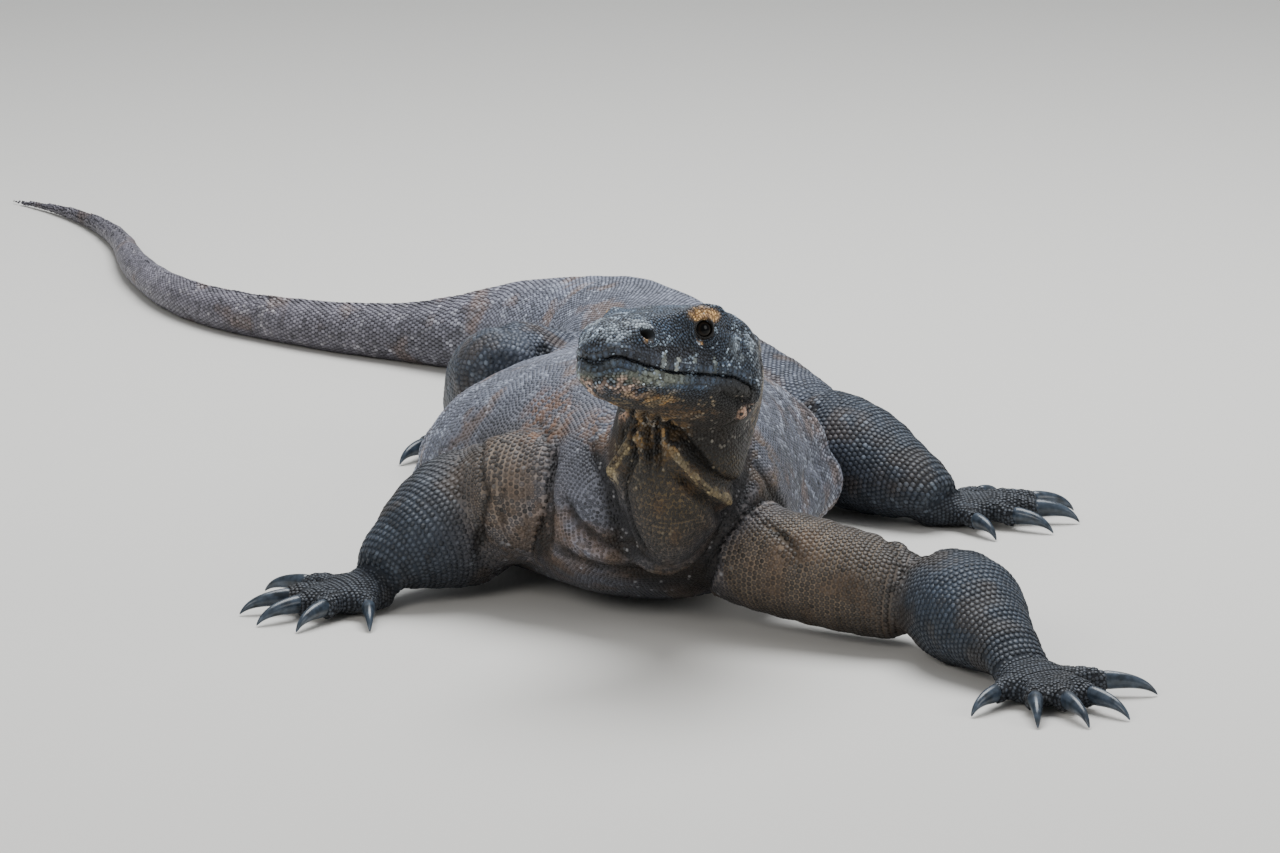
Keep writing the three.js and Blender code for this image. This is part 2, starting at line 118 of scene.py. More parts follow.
def noise(points: Array, size: float, seed: int = 0) -> Array:
    """Smooth noise from -1 to 1.

    Args:
        points: Places, one per row.
        size: Width of a spot in metres.
        seed: Picks one pattern of many.
    Returns:
        One value per point.
    """
    p = points / size + seed * 17.31
    cell = np.floor(p).astype(np.int64)
    f = p - cell
    f = f * f * (3 - 2 * f)
    total = np.zeros(len(points))
    for corner in np.ndindex(2, 2, 2):
        q = cell + corner
        h = (q[:, 0] * 73856093) ^ (q[:, 1] * 19349663) ^ (q[:, 2] * 83492791) ^ (seed * 2654435)
        h = (h ^ (h >> 13)) * 1274126177 & 0x7FFFFFFF
        share = np.prod(np.where(corner, f, 1 - f), axis=1)
        total += share * ((h ^ (h >> 16)) % 65536 / 32767.5 - 1)
    return total


def smooth_rows(rows: list | Array, count: int) -> Array:
    """Rows along a smooth curve through evenly spaced rows of a table."""
    table = np.asarray(rows, float)
    last = len(table) - 1
    place = np.linspace(0, last, count)
    i = np.minimum(place.astype(int), last - 1)
    u = (place - i)[:, None]
    p, q, r, s = (table[np.clip(i + k, 0, last)] for k in (-1, 0, 1, 2))
    return q + 0.5 * u * ((r - p) + u * ((2 * p - 5 * q + 4 * r - s) + u * (3 * (q - r) + s - p)))


def near_line(points: Array, line: Array, out: Array | None = None) -> tuple[Array, Array]:
    """Distance from points to a line of corners, and how far along it the nearest place is, 0 to 1.

    Args:
        points: Places, one per row.
        line: The line's corners.
        out: Normals at the places. Where given, the distance is measured along the surface only.
    """
    best = np.full(len(points), 1e9)
    share = np.zeros(len(points))
    count = len(line) - 1
    for i in range(count):
        a, b = line[i], line[i + 1]
        t = np.clip((points - a) @ (b - a) / max((b - a) @ (b - a), 1e-12), 0, 1)
        away = points - a - t[:, None] * (b - a)
        if out is not None:
            away = away - out * (np.einsum("ij,ij->i", away, out) * 0.85)[:, None]
        d = np.linalg.norm(away, axis=1)
        closer = d < best
        best = np.where(closer, d, best)
        share = np.where(closer, (i + t) / count, share)
    return best, share


def mesh_object(name: str, verts: Array, faces: Array) -> bpy.types.Object:
    """A mesh object at the origin from arrays of corners and of faces with equal numbers of corners."""
    mesh = bpy.data.meshes.new(name)
    count, size = faces.shape
    mesh.vertices.add(len(verts))
    mesh.vertices.foreach_set("co", np.ascontiguousarray(verts, np.float32).ravel())
    mesh.loops.add(count * size)
    mesh.loops.foreach_set("vertex_index", np.ascontiguousarray(faces, np.int32).ravel())
    mesh.polygons.add(count)
    mesh.polygons.foreach_set("loop_start", np.arange(0, count * size, size, dtype=np.int32))
    mesh.polygons.foreach_set("use_smooth", np.ones(count, bool))
    mesh.update(calc_edges=True)
    obj = bpy.data.objects.new(name, mesh)
    bpy.context.scene.collection.objects.link(obj)
    return obj


def only(obj: bpy.types.Object) -> bpy.types.Object:
    """Selects one object and nothing else."""
    bpy.ops.object.select_all(action="DESELECT")
    obj.select_set(True)
    bpy.context.view_layer.objects.active = obj
    return obj


def apply(obj: bpy.types.Object, kind: str, **settings: object) -> None:
    """Adds a modifier to an object and applies it."""
    only(obj)
    modifier = obj.modifiers.new(kind.title(), kind)
    for name, value in settings.items():
        setattr(modifier, name, value)
    bpy.ops.object.modifier_apply(modifier=modifier.name)


def read(data: bpy.types.bpy_prop_collection, field_name: str, size: int, kind: type) -> Array:
    """One field of a mesh's data as an array, with a row for each entry."""
    values = np.empty(len(data) * size, kind)
    data.foreach_get(field_name, values)
    return values.reshape(-1, size) if size > 1 else values


def corners(obj: bpy.types.Object) -> Array:
    """Places of a mesh's vertices."""
    return read(obj.data.vertices, "co", 3, np.float32).astype(float)


def normals(obj: bpy.types.Object) -> Array:
    """Normals of a mesh's vertices."""
    return read(obj.data.vertex_normals, "vector", 3, np.float32).astype(float)


def move_corners(obj: bpy.types.Object, verts: Array) -> None:
    """Puts a mesh's vertices at new places."""
    obj.data.vertices.foreach_set("co", np.ascontiguousarray(verts, np.float32).ravel())
    obj.data.update()


def paint(obj: bpy.types.Object, colours: Array) -> None:
    """Stores a colour for each vertex, for the finish to read."""
    layer = obj.data.color_attributes.new(name=TINT, type="FLOAT_COLOR", domain="POINT")
    rgba = np.ones((len(colours), 4), np.float32)
    rgba[:, :3] = colours
    layer.data.foreach_set("color", rgba.ravel())


def nearest_tree(points: Array) -> KDTree:
    """A search tree over points."""
    tree = KDTree(len(points))
    for i, p in enumerate(points.tolist()):
        tree.insert(p, i)
    tree.balance()
    return tree


# ------------------------ forms


@dataclass
class Form:
    """A tapering solid round a centre line: rings with a half width and a reach over and under."""

    region: Region
    centre: Array
    side: Array
    back: Array
    half: Array
    over: Array
    under: Array
    roundness: float = 2.0
    crown: Array | None = None

    def __post_init__(self) -> None:
        """Measures the centre line."""
        if self.crown is None:
            self.crown = np.full(len(self.half), self.roundness)
        steps = np.linalg.norm(np.diff(self.centre, axis=0), axis=1)
        self.arc = np.concatenate([[0], np.cumsum(steps)])
        self.way = unit(np.gradient(self.centre, axis=0))

    def inset(self, by: float) -> "Form":
        """The same form, thinner all round."""
        thin = [np.maximum(v - by, v * 0.3) for v in (self.half, self.over, self.under)]
        return Form(self.region, self.centre, self.side, self.back, *thin, self.roundness, self.crown)

    def at(self, s: Array, theta: Array) -> Array:
        """Places on the surface, from a distance along the form and an angle from its side."""
        i = np.interp(s, self.arc, np.arange(len(self.arc)))
        low = np.minimum(i.astype(int), len(self.arc) - 2)
        u = i - low

        def value(v: Array) -> Array:
            """A ring's value between its two neighbours."""
            w = u[:, None] if v.ndim > 1 else u
            return v[low] * (1 - w) + v[low + 1] * w

        c, d = np.cos(theta), np.sin(theta)
        power = 2 / np.where(d > 0, value(self.crown), self.roundness)
        a = np.sign(c) * np.abs(c) ** power * value(self.half)
        b = np.sign(d) * np.abs(d) ** power * np.where(d > 0, value(self.over), value(self.under))
        return value(self.centre) + a[:, None] * value(self.side) + b[:, None] * value(self.back)

    def mesh(self, sides: int) -> tuple[Array, Array]:
        """Vertices and triangles of the closed form."""
        rings = len(self.arc)
        turn = np.linspace(0, 2 * math.pi, sides, endpoint=False)
        verts = self.at(np.repeat(self.arc, sides), np.tile(turn, rings))
        verts = np.vstack([verts, self.centre[0], self.centre[-1]])
        j, k = np.meshgrid(np.arange(rings - 1), np.arange(sides), indexing="ij")
        a, b = (j * sides + k).ravel(), (j * sides + (k + 1) % sides).ravel()
        around = np.vstack([np.stack([a, b, b + sides], 1), np.stack([a, b + sides, a + sides], 1)])
        k = np.arange(sides)
        first, end = rings * sides, (rings - 1) * sides
        caps = [
            np.stack([np.full(sides, first), (k + 1) % sides, k], 1),
            np.stack([np.full(sides, first + 1), end + k, end + (k + 1) % sides], 1),
        ]
        faces = np.vstack([around, *caps])
        tri = verts[faces]
        if np.einsum("ij,ij->i", tri[:, 0], np.cross(tri[:, 1], tri[:, 2])).sum() < 0:
            faces = faces[:, ::-1]
        return verts, faces

    def measure(self, points: Array) -> tuple[Array, Array, Array, Array]:
        """Where points lie on the form.

        Returns:
            Height above the surface, distance along, angle, and the index of the nearest ring.
        """
        sq = (points**2).sum(1)[:, None] - 2 * points @ self.centre.T + (self.centre**2).sum(1)
        near = np.argmin(sq, axis=1)
        d = points - self.centre[near]
        on = np.einsum("ij,ij->i", d, self.way[near])
        a = np.einsum("ij,ij->i", d, self.side[near]) / self.half[near]
        b = np.einsum("ij,ij->i", d, self.back[near])
        reach = np.where(b > 0, self.over[near], self.under[near])
        q = np.where(b > 0, self.crown[near], self.roundness)
        b = b / reach
        r = (np.abs(a) ** q + np.abs(b) ** q) ** (1 / q)
        theta = np.arctan2(np.sign(b) * np.abs(b) ** (q / 2), np.sign(a) * np.abs(a) ** (q / 2))
        height = (r - 1) * np.minimum(self.half[near], reach)
        past = np.where(near == 0, -on, np.where(near == len(self.arc) - 1, on, 0.0))
        return np.maximum(height, past - 0.002), self.arc[near] + on, theta, near


def form_along(
    region: Region, rows: tuple, count: int, roundness: float = 2.0, upright: bool = False
) -> Form:
    """A form through rows of x, y, z, half width, over, under and, on the neck, a turn in degrees.

    Args:
        region: Where on the body it is.
        rows: The rows, in millimetres.
        count: Number of rings that the form gets.
        roundness: 2 is an ellipse, more is squarer.
        upright: Whether the rings stand upright, whatever the slope of the centre line.
    """
    table = smooth_rows(rows, count)
    centre = table[:, :3] * MM
    way = unit(np.gradient(centre, axis=0))
    half, over = table[:, 3] * MM, table[:, 4] * MM
    under = table[:, 5] * MM if table.shape[1] > 5 else over
    if table.shape[1] > 6:
        turn = np.radians(table[:, 6])
        side = np.stack([np.cos(turn), -np.sin(turn), 0 * turn], 1)
    else:
        side = unit(np.stack([-way[:, 1], way[:, 0], 0 * way[:, 0]], 1))
    back = np.tile(UP, (count, 1)) if upright else unit(np.cross(way, side))
    back *= np.where(back[:, 2:] < 0, -1, 1)
    return Form(region, centre, side, back, half, over, under, roundness)


def upright_form(region: Region, start: Array, way: Array, rows: Array, tall: float, count: int) -> Form:
    """A form along a line on the floor, from rows of distance, height and radius in metres."""
    table = smooth_rows(rows, count)
    centre = start + table[:, :1] * way
    centre[:, 2] = table[:, 1]
    side = np.tile([-way[1], way[0], 0.0], (count, 1))
    back = np.tile(UP, (count, 1))
    reach = table[:, 2] * tall
    return Form(region, centre, side, back, table[:, 2], reach, reach)


# ------------------------ the parts of the animal


@dataclass
class Trunk:
    """Shoulders, chest, belly and hips."""

    roundness: float = 2.1
    steps: int = 260
    rings: tuple = (
        (28, -176, 86, 28, 22, 22),
        (28, -164, 86, 60, 46, 42),
        (28, -136, 80, 88, 76, 56),
        (26, -95, 70, 106, 104, 62),
        (22, -50, 62, 118, 118, 60),
        (14, 10, 54, 138, 127, 58),
        (2, 80, 48, 167, 120, 53),
        (3, 150, 48, 162, 104, 53),
        (8, 220, 50, 142, 90, 55),
        (18, 300, 52, 116, 80, 57),
        (28, 390, 56, 94, 72, 60),
        (28, 460, 58, 82, 63, 61),
        (16, 530, 57, 76, 63, 59),
        (-4, 590, 56, 68, 61, 58),
    )

    def forms(self) -> list[Form]:
        """The trunk as one form."""
        return [form_along(Region.TRUNK, self.rings, self.steps, self.roundness, upright=True)]


@dataclass
class Tail:
    """The tail, which lies on the floor in a slow curve.

    rooted is how far it reaches into the hips, low the share of its height under its centre line, headings
    the degrees that it bears to the right at distances along it, and girths its half width and height there.
    """

    start: tuple = (-4, 588)
    length: float = 1150
    step: float = 2.5
    rooted: float = 24
    low: float = 0.49
    headings: tuple = (
        (0, 28), (130, 38), (200, 60), (300, 58), (430, 50), (620, 20), (820, 8), (1000, 26), (1150, 46),
    )
    girths: tuple = (
        (0, 68, 119), (60, 58, 108), (150, 45, 89), (205, 36, 72), (240, 31, 62), (290, 26, 52),
        (350, 23, 46), (500, 19.5, 40), (700, 15, 32), (900, 10.5, 23), (1060, 6, 13.5), (1135, 3.2, 7),
        (1150, 1, 2.4),
    )

    def forms(self) -> list[Form]:
        """The tail as one form."""
        s = np.arange(0, self.length + self.step, self.step)
        heading = np.radians(np.interp(s, *np.array(self.headings, float).T))
        x = self.start[0] - np.concatenate([[0], np.cumsum(np.sin(heading[:-1]) * self.step)])
        y = self.start[1] + np.concatenate([[0], np.cumsum(np.cos(heading[:-1]) * self.step)])
        at, half, height = np.array(self.girths, float).T
        half, height = np.interp(s, at, half) * MM, np.interp(s, at, height) * MM
        under = height * self.low
        centre = np.stack([x * MM, y * MM, under - np.minimum(0.002, under * 0.1)], 1)
        centre[0] += np.array([math.sin(heading[0]), -math.cos(heading[0]), 0]) * self.rooted * MM
        side = np.stack([np.cos(heading), np.sin(heading), 0 * s], 1)
        back = np.tile(UP, (len(s), 1))
        return [Form(Region.TAIL, centre, side, back, half, height - under, under)]


@dataclass
class Neck:
    """The raised neck and the bag of the throat."""

    steps: int = 90
    rings: tuple = (
        (26, -75, 104, 78, 60, 72, 0),
        (33, -122, 124, 52, 56, 92, 2),
        (42, -150, 150, 54, 50, 80, 8),
        (50, -170, 180, 55, 42, 66, 14),
        (57, -183, 208, 49, 36, 58, 22),
        (62, -190, 232, 43, 30, 46, 28),
    )

    def forms(self) -> list[Form]:
        """The neck as one form."""
        return [form_along(Region.NECK, self.rings, self.steps)]


@dataclass
class Head:
    """The head. Its own frame has F towards the snout, S to the left and U up, from between the eyes.

    rings are F, half width, top, bottom, level of the centre and squareness of the crown, mouth, brow and
    lines of creases are corners in that frame, and lip_rows are the height over the mouth, the pitch and the
    width of each row of lip scales.
    """

    at: tuple = (27, -240, 249)
    turn: float = 32
    pitch: float = 13.4
    roll: float = 8
    roundness: float = 2.35
    steps: int = 90
    rings: tuple = (
        (-96, 29, -2, -56, -28, 2.4),
        (-86, 38, 7, -68, -32, 2.6),
        (-64, 48, 14, -74, -34, 3),
        (-42, 55, 18, -72, -36, 3.4),
        (-18, 53, 19, -68, -36, 3.5),
        (4, 47, 18, -63, -35, 3.5),
        (26, 41, 14.5, -60, -34, 3.2),
        (46, 36, 11, -57, -33, 2.8),
        (62, 31.5, 8, -55, -31, 2.4),
        (76, 25.5, 3, -52, -28, 2.3),
        (86, 18, -3, -46, -26, 2.2),
        (91.5, 10, -10, -38, -25, 2),
        (93, 4, -18, -30, -25, 2),
    )
    mouth: tuple = (
        (-42, -43), (-18, -35), (12, -34), (45, -34), (70, -29.5), (86, -24), (91, -25), (93, -29),
        (120, -30),
    )
    eye: tuple = (3, 33, -1)
    eye_radius: float = 11
    eye_opening: float = 5.9
    lid: float = 1.1
    orbit: tuple = (14, 52, -3)
    orbit_radius: float = 14
    gaze: tuple = (0.503, 0.864, 0)
    nostril: tuple = (64, 27, -8)
    brow: tuple = (
        (-30, 39, 9), (-14, 38, 10), (2, 36.5, 10), (18, 34.5, 9.5), (32, 31, 8), (44, 27, 5.5),
        (56, 25, 1.5),
    )
    brow_height: tuple = ((0, 0.5), (0.15, 6.5), (0.4, 9.0), (0.6, 6.0), (0.75, 2.5), (1, 2.0))
    creases: tuple = (
        # jowl, cheek, three under the chin, temple: line, width, depth, and where on the flank it fades in
        (((-28, -50), (-50, -56), (-64, -44), (-72, -24)), 2.6, 4.0, 24, 36),
        (((-8, -47), (-30, -54), (-46, -66), (-52, -80)), 2.4, 2.4, 24, 36),
        (((77, -47), (71, -62), (64, -76)), 1.7, 2.6, 6, 14),
        (((67, -49), (61, -62), (54, -76)), 1.7, 2.6, 6, 14),
        (((50, -54), (44, -62), (37, -76)), 1.7, 2.6, 6, 14),
        (((-17, 0), (-40, -1), (-62, -8), (-78, -20)), 3.2, 1.6, 24, 34),
    )
    eye_wrinkles: tuple = ((13.5, 1.2), (17.0, 1.1), (20.5, 1.0), (24.0, 0.8), (27.5, 0.6))
    lip_rows: tuple = ((4.0, 4.6, 1.25), (9.2, 3.8, 1.1), (-4.6, 5.0, 1.2), (-10.0, 4.0, 1.0))
    snout_tip: float = 92.6

    def __post_init__(self) -> None:
        """Finds the directions of the head's frame and of the left eye's: forwards, up and out."""
        turn, pitch, roll = (math.radians(v) for v in (self.turn, self.pitch, self.roll))
        level = np.array([math.cos(turn), -math.sin(turn), 0])
        ahead = np.array([-math.sin(turn), -math.cos(turn), 0])
        f = ahead * math.cos(pitch) + UP * math.sin(pitch)
        upright = unit(np.cross(f, level))
        upright *= np.sign(upright[2])
        s = level * math.cos(roll) + upright * math.sin(roll)
        u = upright * math.cos(roll) - level * math.sin(roll)
        self.axes = np.stack([f, s, u])
        self.origin = np.array(self.at) * MM
        self.eye_axes = np.array([(self.gaze[1], -self.gaze[0], 0), UP, self.gaze])

    def place(self, fsu: Array) -> Array:
        """Places of the head's frame, in millimetres, as places of the model."""
        return self.origin + np.asarray(fsu, float) * MM @ self.axes

    def own(self, points: Array) -> Array:
        """Places of the model as places of the head's frame, in millimetres."""
        return (points - self.origin) @ self.axes.T / MM

    def mirrored(self, points: Array) -> Array:
        """Places of the model in the head's frame, with its right side laid over the left."""
        fsu = self.own(points)
        fsu[:, 1] = np.abs(fsu[:, 1])
        return fsu

    def seen_from_eye(self, points: Array) -> Array:
        """Places as the nearer eye has them, in millimetres: forwards, up, and out along its gaze."""
        return self.eye_frame(self.mirrored(points) - np.array(self.eye))

    def eye_frame(self, away: Array) -> Array:
        """Offsets of the head's frame as offsets of the left eye's."""
        return away @ self.eye_axes.T

    def open(self, x: Array, y: Array) -> Array:
        """How far, in millimetres, places before the eye lie outside the opening of its lids."""
        return np.hypot(x / 1.12, y / np.where(y > 0, 0.80, 0.95)) - self.eye_opening

    def from_eye(self, spots: Array, sign: int) -> Array:
        """Places of the model, from offsets forwards, up and out of the left (1) or right (-1) eye."""
        fsu = np.array(self.eye) + spots @ self.eye_axes
        return self.place(fsu * np.array([1, sign, 1]))

    def forms(self) -> list[Form]:
        """The head and the lower jaw as one form."""
        f, half, top, bottom, level, crown = smooth_rows(self.rings, self.steps).T
        centre = self.place(np.stack([f, 0 * f, level], 1))
        side, back = (np.tile(self.axes[k], (len(f), 1)) for k in (1, 2))
        sizes = (half * MM, (top - level) * MM, (level - bottom) * MM)
        return [Form(Region.HEAD, centre, side, back, *sizes, self.roundness, crown)]

    def lip_line(self, rise: float, count: int, back_to: float) -> Array:
        """Places along a line round the mouth, from the right corner round to the left.

        Args:
            rise: Height of the line over the mouth, in millimetres.
            count: Number of places.
            back_to: Where its ends are, forwards of the eyes.
        """
        f = np.linspace(back_to, self.snout_tip, 160)
        u = np.interp(f, *np.array(self.mouth, float).T) + rise
        table = smooth_rows(self.rings, 400)
        half, top, bottom, level, crown = (np.interp(f, table[:, 0], table[:, k]) for k in range(1, 6))
        reach = np.where(u > level, top - level, level - bottom)
        q = np.where(u > level, crown, self.roundness)
        s = half * np.maximum(1 - np.minimum(np.abs(u - level) / reach, 1) ** q, 0.001) ** (1 / q)
        line = np.vstack([np.stack([f, -s, u], 1), np.stack([f, s, u], 1)[::-1]])
        run = np.concatenate([[0], np.cumsum(np.linalg.norm(np.diff(line, axis=0), axis=1))])
        spots = (np.arange(count) + 0.5) / count * run[-1]
        return np.stack([np.interp(spots, run, line[:, k]) for k in range(3)], 1)

    def relief(self, verts: Array) -> Array:
        """Heights, in millimetres, of the brows, lips, nostrils, ears and wrinkles of the head."""
        fsu = self.mirrored(verts)
        f, s, u = fsu.T
        profile = np.stack([f, u], 1)
        on_head = ease(f, -100, -80) * ease(u, -92, -78)
        rise = 0.35 * noise(verts, 0.012, 3) + 0.5 * noise(verts, 0.03, 4)
        rise += 0.5 * ease(u, 0, 16) * noise(verts, 0.007, 8)

        # ridges, the dip of the snout, and the bulge of the cheek
        rise += 0.25 * self.ridge(fsu)
        rise -= bell(f - 46, 26) * bell(s, 12) * bell(u - 10, 16) * 2.4
        rise += bell(f + 50, 26) * bell(s - 55, 14) * bell(u + 36, 26) * 2.0

        # the lips, the line between them and the folds round its corner
        mouth = np.array(self.mouth, float)
        slit, _ = near_line(profile, mouth)
        above = u - np.interp(f, *mouth.T)
        front = ease(f, -46, -34)
        rise += front * bell(above - 5.5, 4.0) * 0.7 + front * bell(above + 7, 5.5) * 0.8
        rise -= front * bell(above + 16, 2.6) * 1.3 * ease(f, 0, 20)
        rise -= bell(slit, 1.5) * 3.4 * ease(f, -48, -38)
        corner = np.hypot(f + 43, u + 45)
        rise += bell(corner - 7, 3.2) * (f < -38) * 1.5 * ease(s, 30, 40)
        rise -= bell(corner - 12, 2.6) * (f < -36) * 1.2 * ease(s, 30, 40)
        rise += bell(np.hypot(f + 42, u + 60), 9.0) * 3.2 * ease(s, 24, 36)
        for line, width, deep, low, high in self.creases:
            away, _ = near_line(profile, np.array(line))
            rise -= bell(away, width) * deep * ease(s, low, high)

        # wrinkles under the eye, the ear and the nostril
        sideways = ease(s, 22, 30)
        x, y, _ = self.seen_from_eye(verts).T
        about, around = np.hypot(x, y), np.arctan2(y, x)
        below = ease(-np.sin(around - 0.35), -0.15, 0.5) * sideways
        for radius, deep in self.eye_wrinkles:
            rise -= bell(about - radius, 1.2) * deep * below
        ear = np.hypot((f + 66) / 0.62, u + 26)
        rise -= (bell(ear, 6.2) * 7.0 - bell(ear - 10, 3.0) * 1.3) * sideways
        ahead, _, up = self.nostril
        pit = np.hypot((f - ahead) / 1.35, u - up)
        rise += (bell(pit, 10.0) * 2.6 + bell(pit - 5.0, 2.4) * 1.0 - bell(pit, 3.0) * 8.5) * ease(s, 12, 18)
        return rise * on_head

    def ridge(self, fsu: Array) -> Array:
        """Height, in millimetres, of the brow ridges and of the edge that runs on to the nostrils."""
        d, share = near_line(fsu, np.array(self.brow, float))
        return bell(d, 6.5) * np.interp(share, *np.array(self.brow_height).T)

    def sculpt(self, verts: Array, out: Array) -> Array:
        """Moves of the hide that give the head its relief and draw the lids over the eyes.

        Args:
            verts: Places of the hide's vertices.
            out: Their normals.
        Returns:
            A move for each vertex, in metres.
        """
        own = self.own(verts)
        x, y, z = self.seen_from_eye(verts).T
        about = np.hypot(x, y)
        socket = (about < 13.8) & (z > 2)
        move = out * (self.relief(verts) * np.where(socket, ease(about, 8, 14), 1))[:, None]
        up = unit(self.axes[2] + 0.4 * np.sign(own[:, 1:2]) * self.axes[1])
        move += (0.75 * self.ridge(self.mirrored(verts)) * ease(own[:, 2], -6, 4))[:, None] * up

        # the hide dips into the orbit, is drawn over the ball of the eye and ends at the lids
        cx, cy, cz = self.eye_frame(np.array(self.orbit) - np.array(self.eye))
        dish = cz - np.sqrt(np.maximum(self.orbit_radius**2 - (x - cx) ** 2 - (y - cy) ** 2, 0))
        level = np.minimum(z, np.where(np.hypot(x - cx, y - cy) < self.orbit_radius, dish, z))
        drawn = np.sqrt(np.maximum((self.eye_radius + self.lid) ** 2 - about**2, 0))
        level = np.where(about < 10.6, np.maximum(level, drawn), level)
        opening = self.open(x, y)
        level += bell(opening - 1.1, 1.0) * 0.6 - bell(opening - 3.4, 0.9) * 0.5
        level = mix(level[:, None], (drawn - 4.5)[:, None], 1 - ease(opening, -0.5, 0.35))[:, 0]
        towards = self.axes[0] * self.gaze[0] + np.sign(own[:, 1:2]) * self.axes[1] * self.gaze[1]
        return (move + np.where(socket, level - z, 0)[:, None] * towards) * MM


HAND_DIGITS = ((66, 24, 9.5, 34), (30, 34, 10, 40), (9, 38, 10, 42), (-12, 40, 10, 42), (-58, 38, 10, 42))
FOOT_DIGITS = (
    (66, 26, 9.5, 30), (36, 38, 10, 36), (12, 48, 10.5, 38), (-10, 56, 10.5, 38), (-46, 46, 9.5, 32),
)


@dataclass
class Limb:
    """One leg, with its hand or foot.

    upper and lower are rows of x, y, z, half width and reach. palm is where the palm starts, half, length and
    height are its sizes, and heading is where it points, in degrees. Digits are spread, reach, radius and
    claw, from the inner one. digit_rows and palm_rows are the shares of these at rings along them, and
    steps the numbers of rings of upper leg, lower leg, palm and digit.
    """

    end_name: str
    left: bool
    upper: tuple
    lower: tuple
    palm: tuple
    half: float
    length: float
    height: float
    heading: float
    digits: tuple
    digit_rows: tuple = ((0.35, 1.45, 0.97), (0.8, 1.12, 1.0), (1.0, 1.15, 0.66))
    palm_rows: tuple = (
        (-0.6, 0.6, 0.75), (-0.3, 0.85, 1.0), (0.2, 0.97, 1.0), (0.7, 0.98, 0.84), (1.0, 0.74, 0.62),
    )
    palm_roundness: float = 2.4
    digit_tall: float = 1.04
    steps: tuple = (60, 70, 30, 36)

    def way(self, degrees: float) -> Array:
        """A direction on the floor."""
        angle = math.radians(degrees)
        return np.array([math.cos(angle), math.sin(angle), 0.0])

    def places(self) -> list[tuple[Array, Array, float, float, float]]:
        """Knuckle, direction, reach, radius and claw of each digit, in metres."""
        inner = -1 if self.left else 1
        out = []
        for i, (spread, reach, radius, claw) in enumerate(self.digits):
            share = (i - 2) / 2
            knuckle = np.array([*self.palm, 0.0])
            knuckle += self.way(self.heading) * self.length * (0.8 - 0.55 * share * share)
            knuckle -= self.way(self.heading + 90) * share * inner * (self.half - radius)
            way = self.way(self.heading + spread * inner)
            out.append((knuckle * MM, way, reach * MM, radius * MM, claw * MM))
        return out

    def forms(self) -> list[Form]:
        """Upper and lower leg, palm and five digits."""
        on_upper, on_lower, on_palm, on_digit = self.steps
        upper = form_along(Region.UPPER, self.upper, on_upper)
        lower = form_along(Region.LOWER, self.lower, on_lower)
        table = smooth_rows(self.palm_rows, on_palm)
        centre = np.array([*self.palm, 0.0]) * MM + table[:, :1] * self.length * MM * self.way(self.heading)
        centre[:, 2] = self.height * 0.42 * MM
        side = np.tile(self.way(self.heading + 90), (on_palm, 1))
        back = np.tile(UP, (on_palm, 1))
        half = self.half * table[:, 1] * MM
        over = self.height * 0.58 * table[:, 2] * MM
        under = np.full(on_palm, self.height * 0.46 * MM)
        forms = [upper, lower, Form(Region.HAND, centre, side, back, half, over, under, self.palm_roundness)]
        for knuckle, way, reach, radius, _ in self.places():
            rows = [(-radius, 1.1 * radius, radius)]
            rows += [(reach * a, radius * b, radius * c) for a, b, c in self.digit_rows]
            forms.append(upright_form(Region.HAND, knuckle, way, np.array(rows), self.digit_tall, on_digit))
        return forms


LIMBS = (
    Limb(
        end_name="hand_right",
        left=False,
        upper=(
            (-40, -98, 92, 42, 50), (-70, -78, 86, 43, 52), (-94, -48, 74, 42, 50), (-110, -14, 64, 38, 44),
            (-116, 4, 60, 22, 26),
        ),
        lower=(
            (-102, 20, 57, 20, 22), (-106, 2, 58, 42, 46), (-124, -36, 57, 50, 54), (-150, -60, 48, 45, 44),
            (-174, -76, 36, 32, 30), (-186, -86, 26, 26, 20),
        ),
        palm=(-196, -88), half=29, length=30, height=29, heading=208, digits=HAND_DIGITS,
    ),
    Limb(
        end_name="hand_left",
        left=True,
        upper=(
            (72, -120, 62, 40, 42), (112, -150, 53, 41, 41), (158, -177, 47, 40, 40),
            (200, -196, 42, 37, 37), (220, -202, 40, 24, 26),
        ),
        lower=(
            (236, -190, 38, 18, 20), (236, -208, 40, 38, 38), (252, -250, 40, 44, 42),
            (268, -290, 32, 33, 29), (280, -316, 25, 26, 20), (286, -330, 19, 24, 15),
        ),
        palm=(292, -340), half=29, length=30, height=28, heading=300, digits=HAND_DIGITS,
    ),
    Limb(
        end_name="foot_right",
        left=False,
        upper=(
            (-2, 480, 66, 40, 40), (-36, 446, 64, 38, 38), (-68, 408, 72, 40, 40), (-92, 374, 82, 42, 43),
            (-102, 348, 82, 24, 26),
        ),
        lower=(
            (-98, 336, 82, 20, 22), (-100, 354, 83, 38, 42), (-110, 398, 66, 40, 42),
            (-120, 440, 46, 33, 32), (-128, 472, 30, 27, 22), (-131, 486, 23, 20, 15),
        ),
        palm=(-126, 452), half=27, length=50, height=26, heading=278, digits=FOOT_DIGITS,
    ),
    Limb(
        end_name="foot_left",
        left=True,
        upper=(
            (64, 452, 74, 42, 44), (88, 392, 68, 43, 45), (110, 336, 61, 47, 48), (132, 290, 55, 46, 47),
            (150, 262, 54, 40, 42), (160, 246, 52, 24, 26),
        ),
        lower=(
            (144, 268, 50, 20, 22), (156, 252, 50, 40, 44), (184, 224, 46, 44, 46), (214, 196, 37, 37, 37),
            (238, 174, 30, 29, 26), (250, 164, 23, 23, 16),
        ),
        palm=(254, 182), half=28, length=36, height=27, heading=8, digits=FOOT_DIGITS,
    ),
)


# ------------------------ folds of loose skin


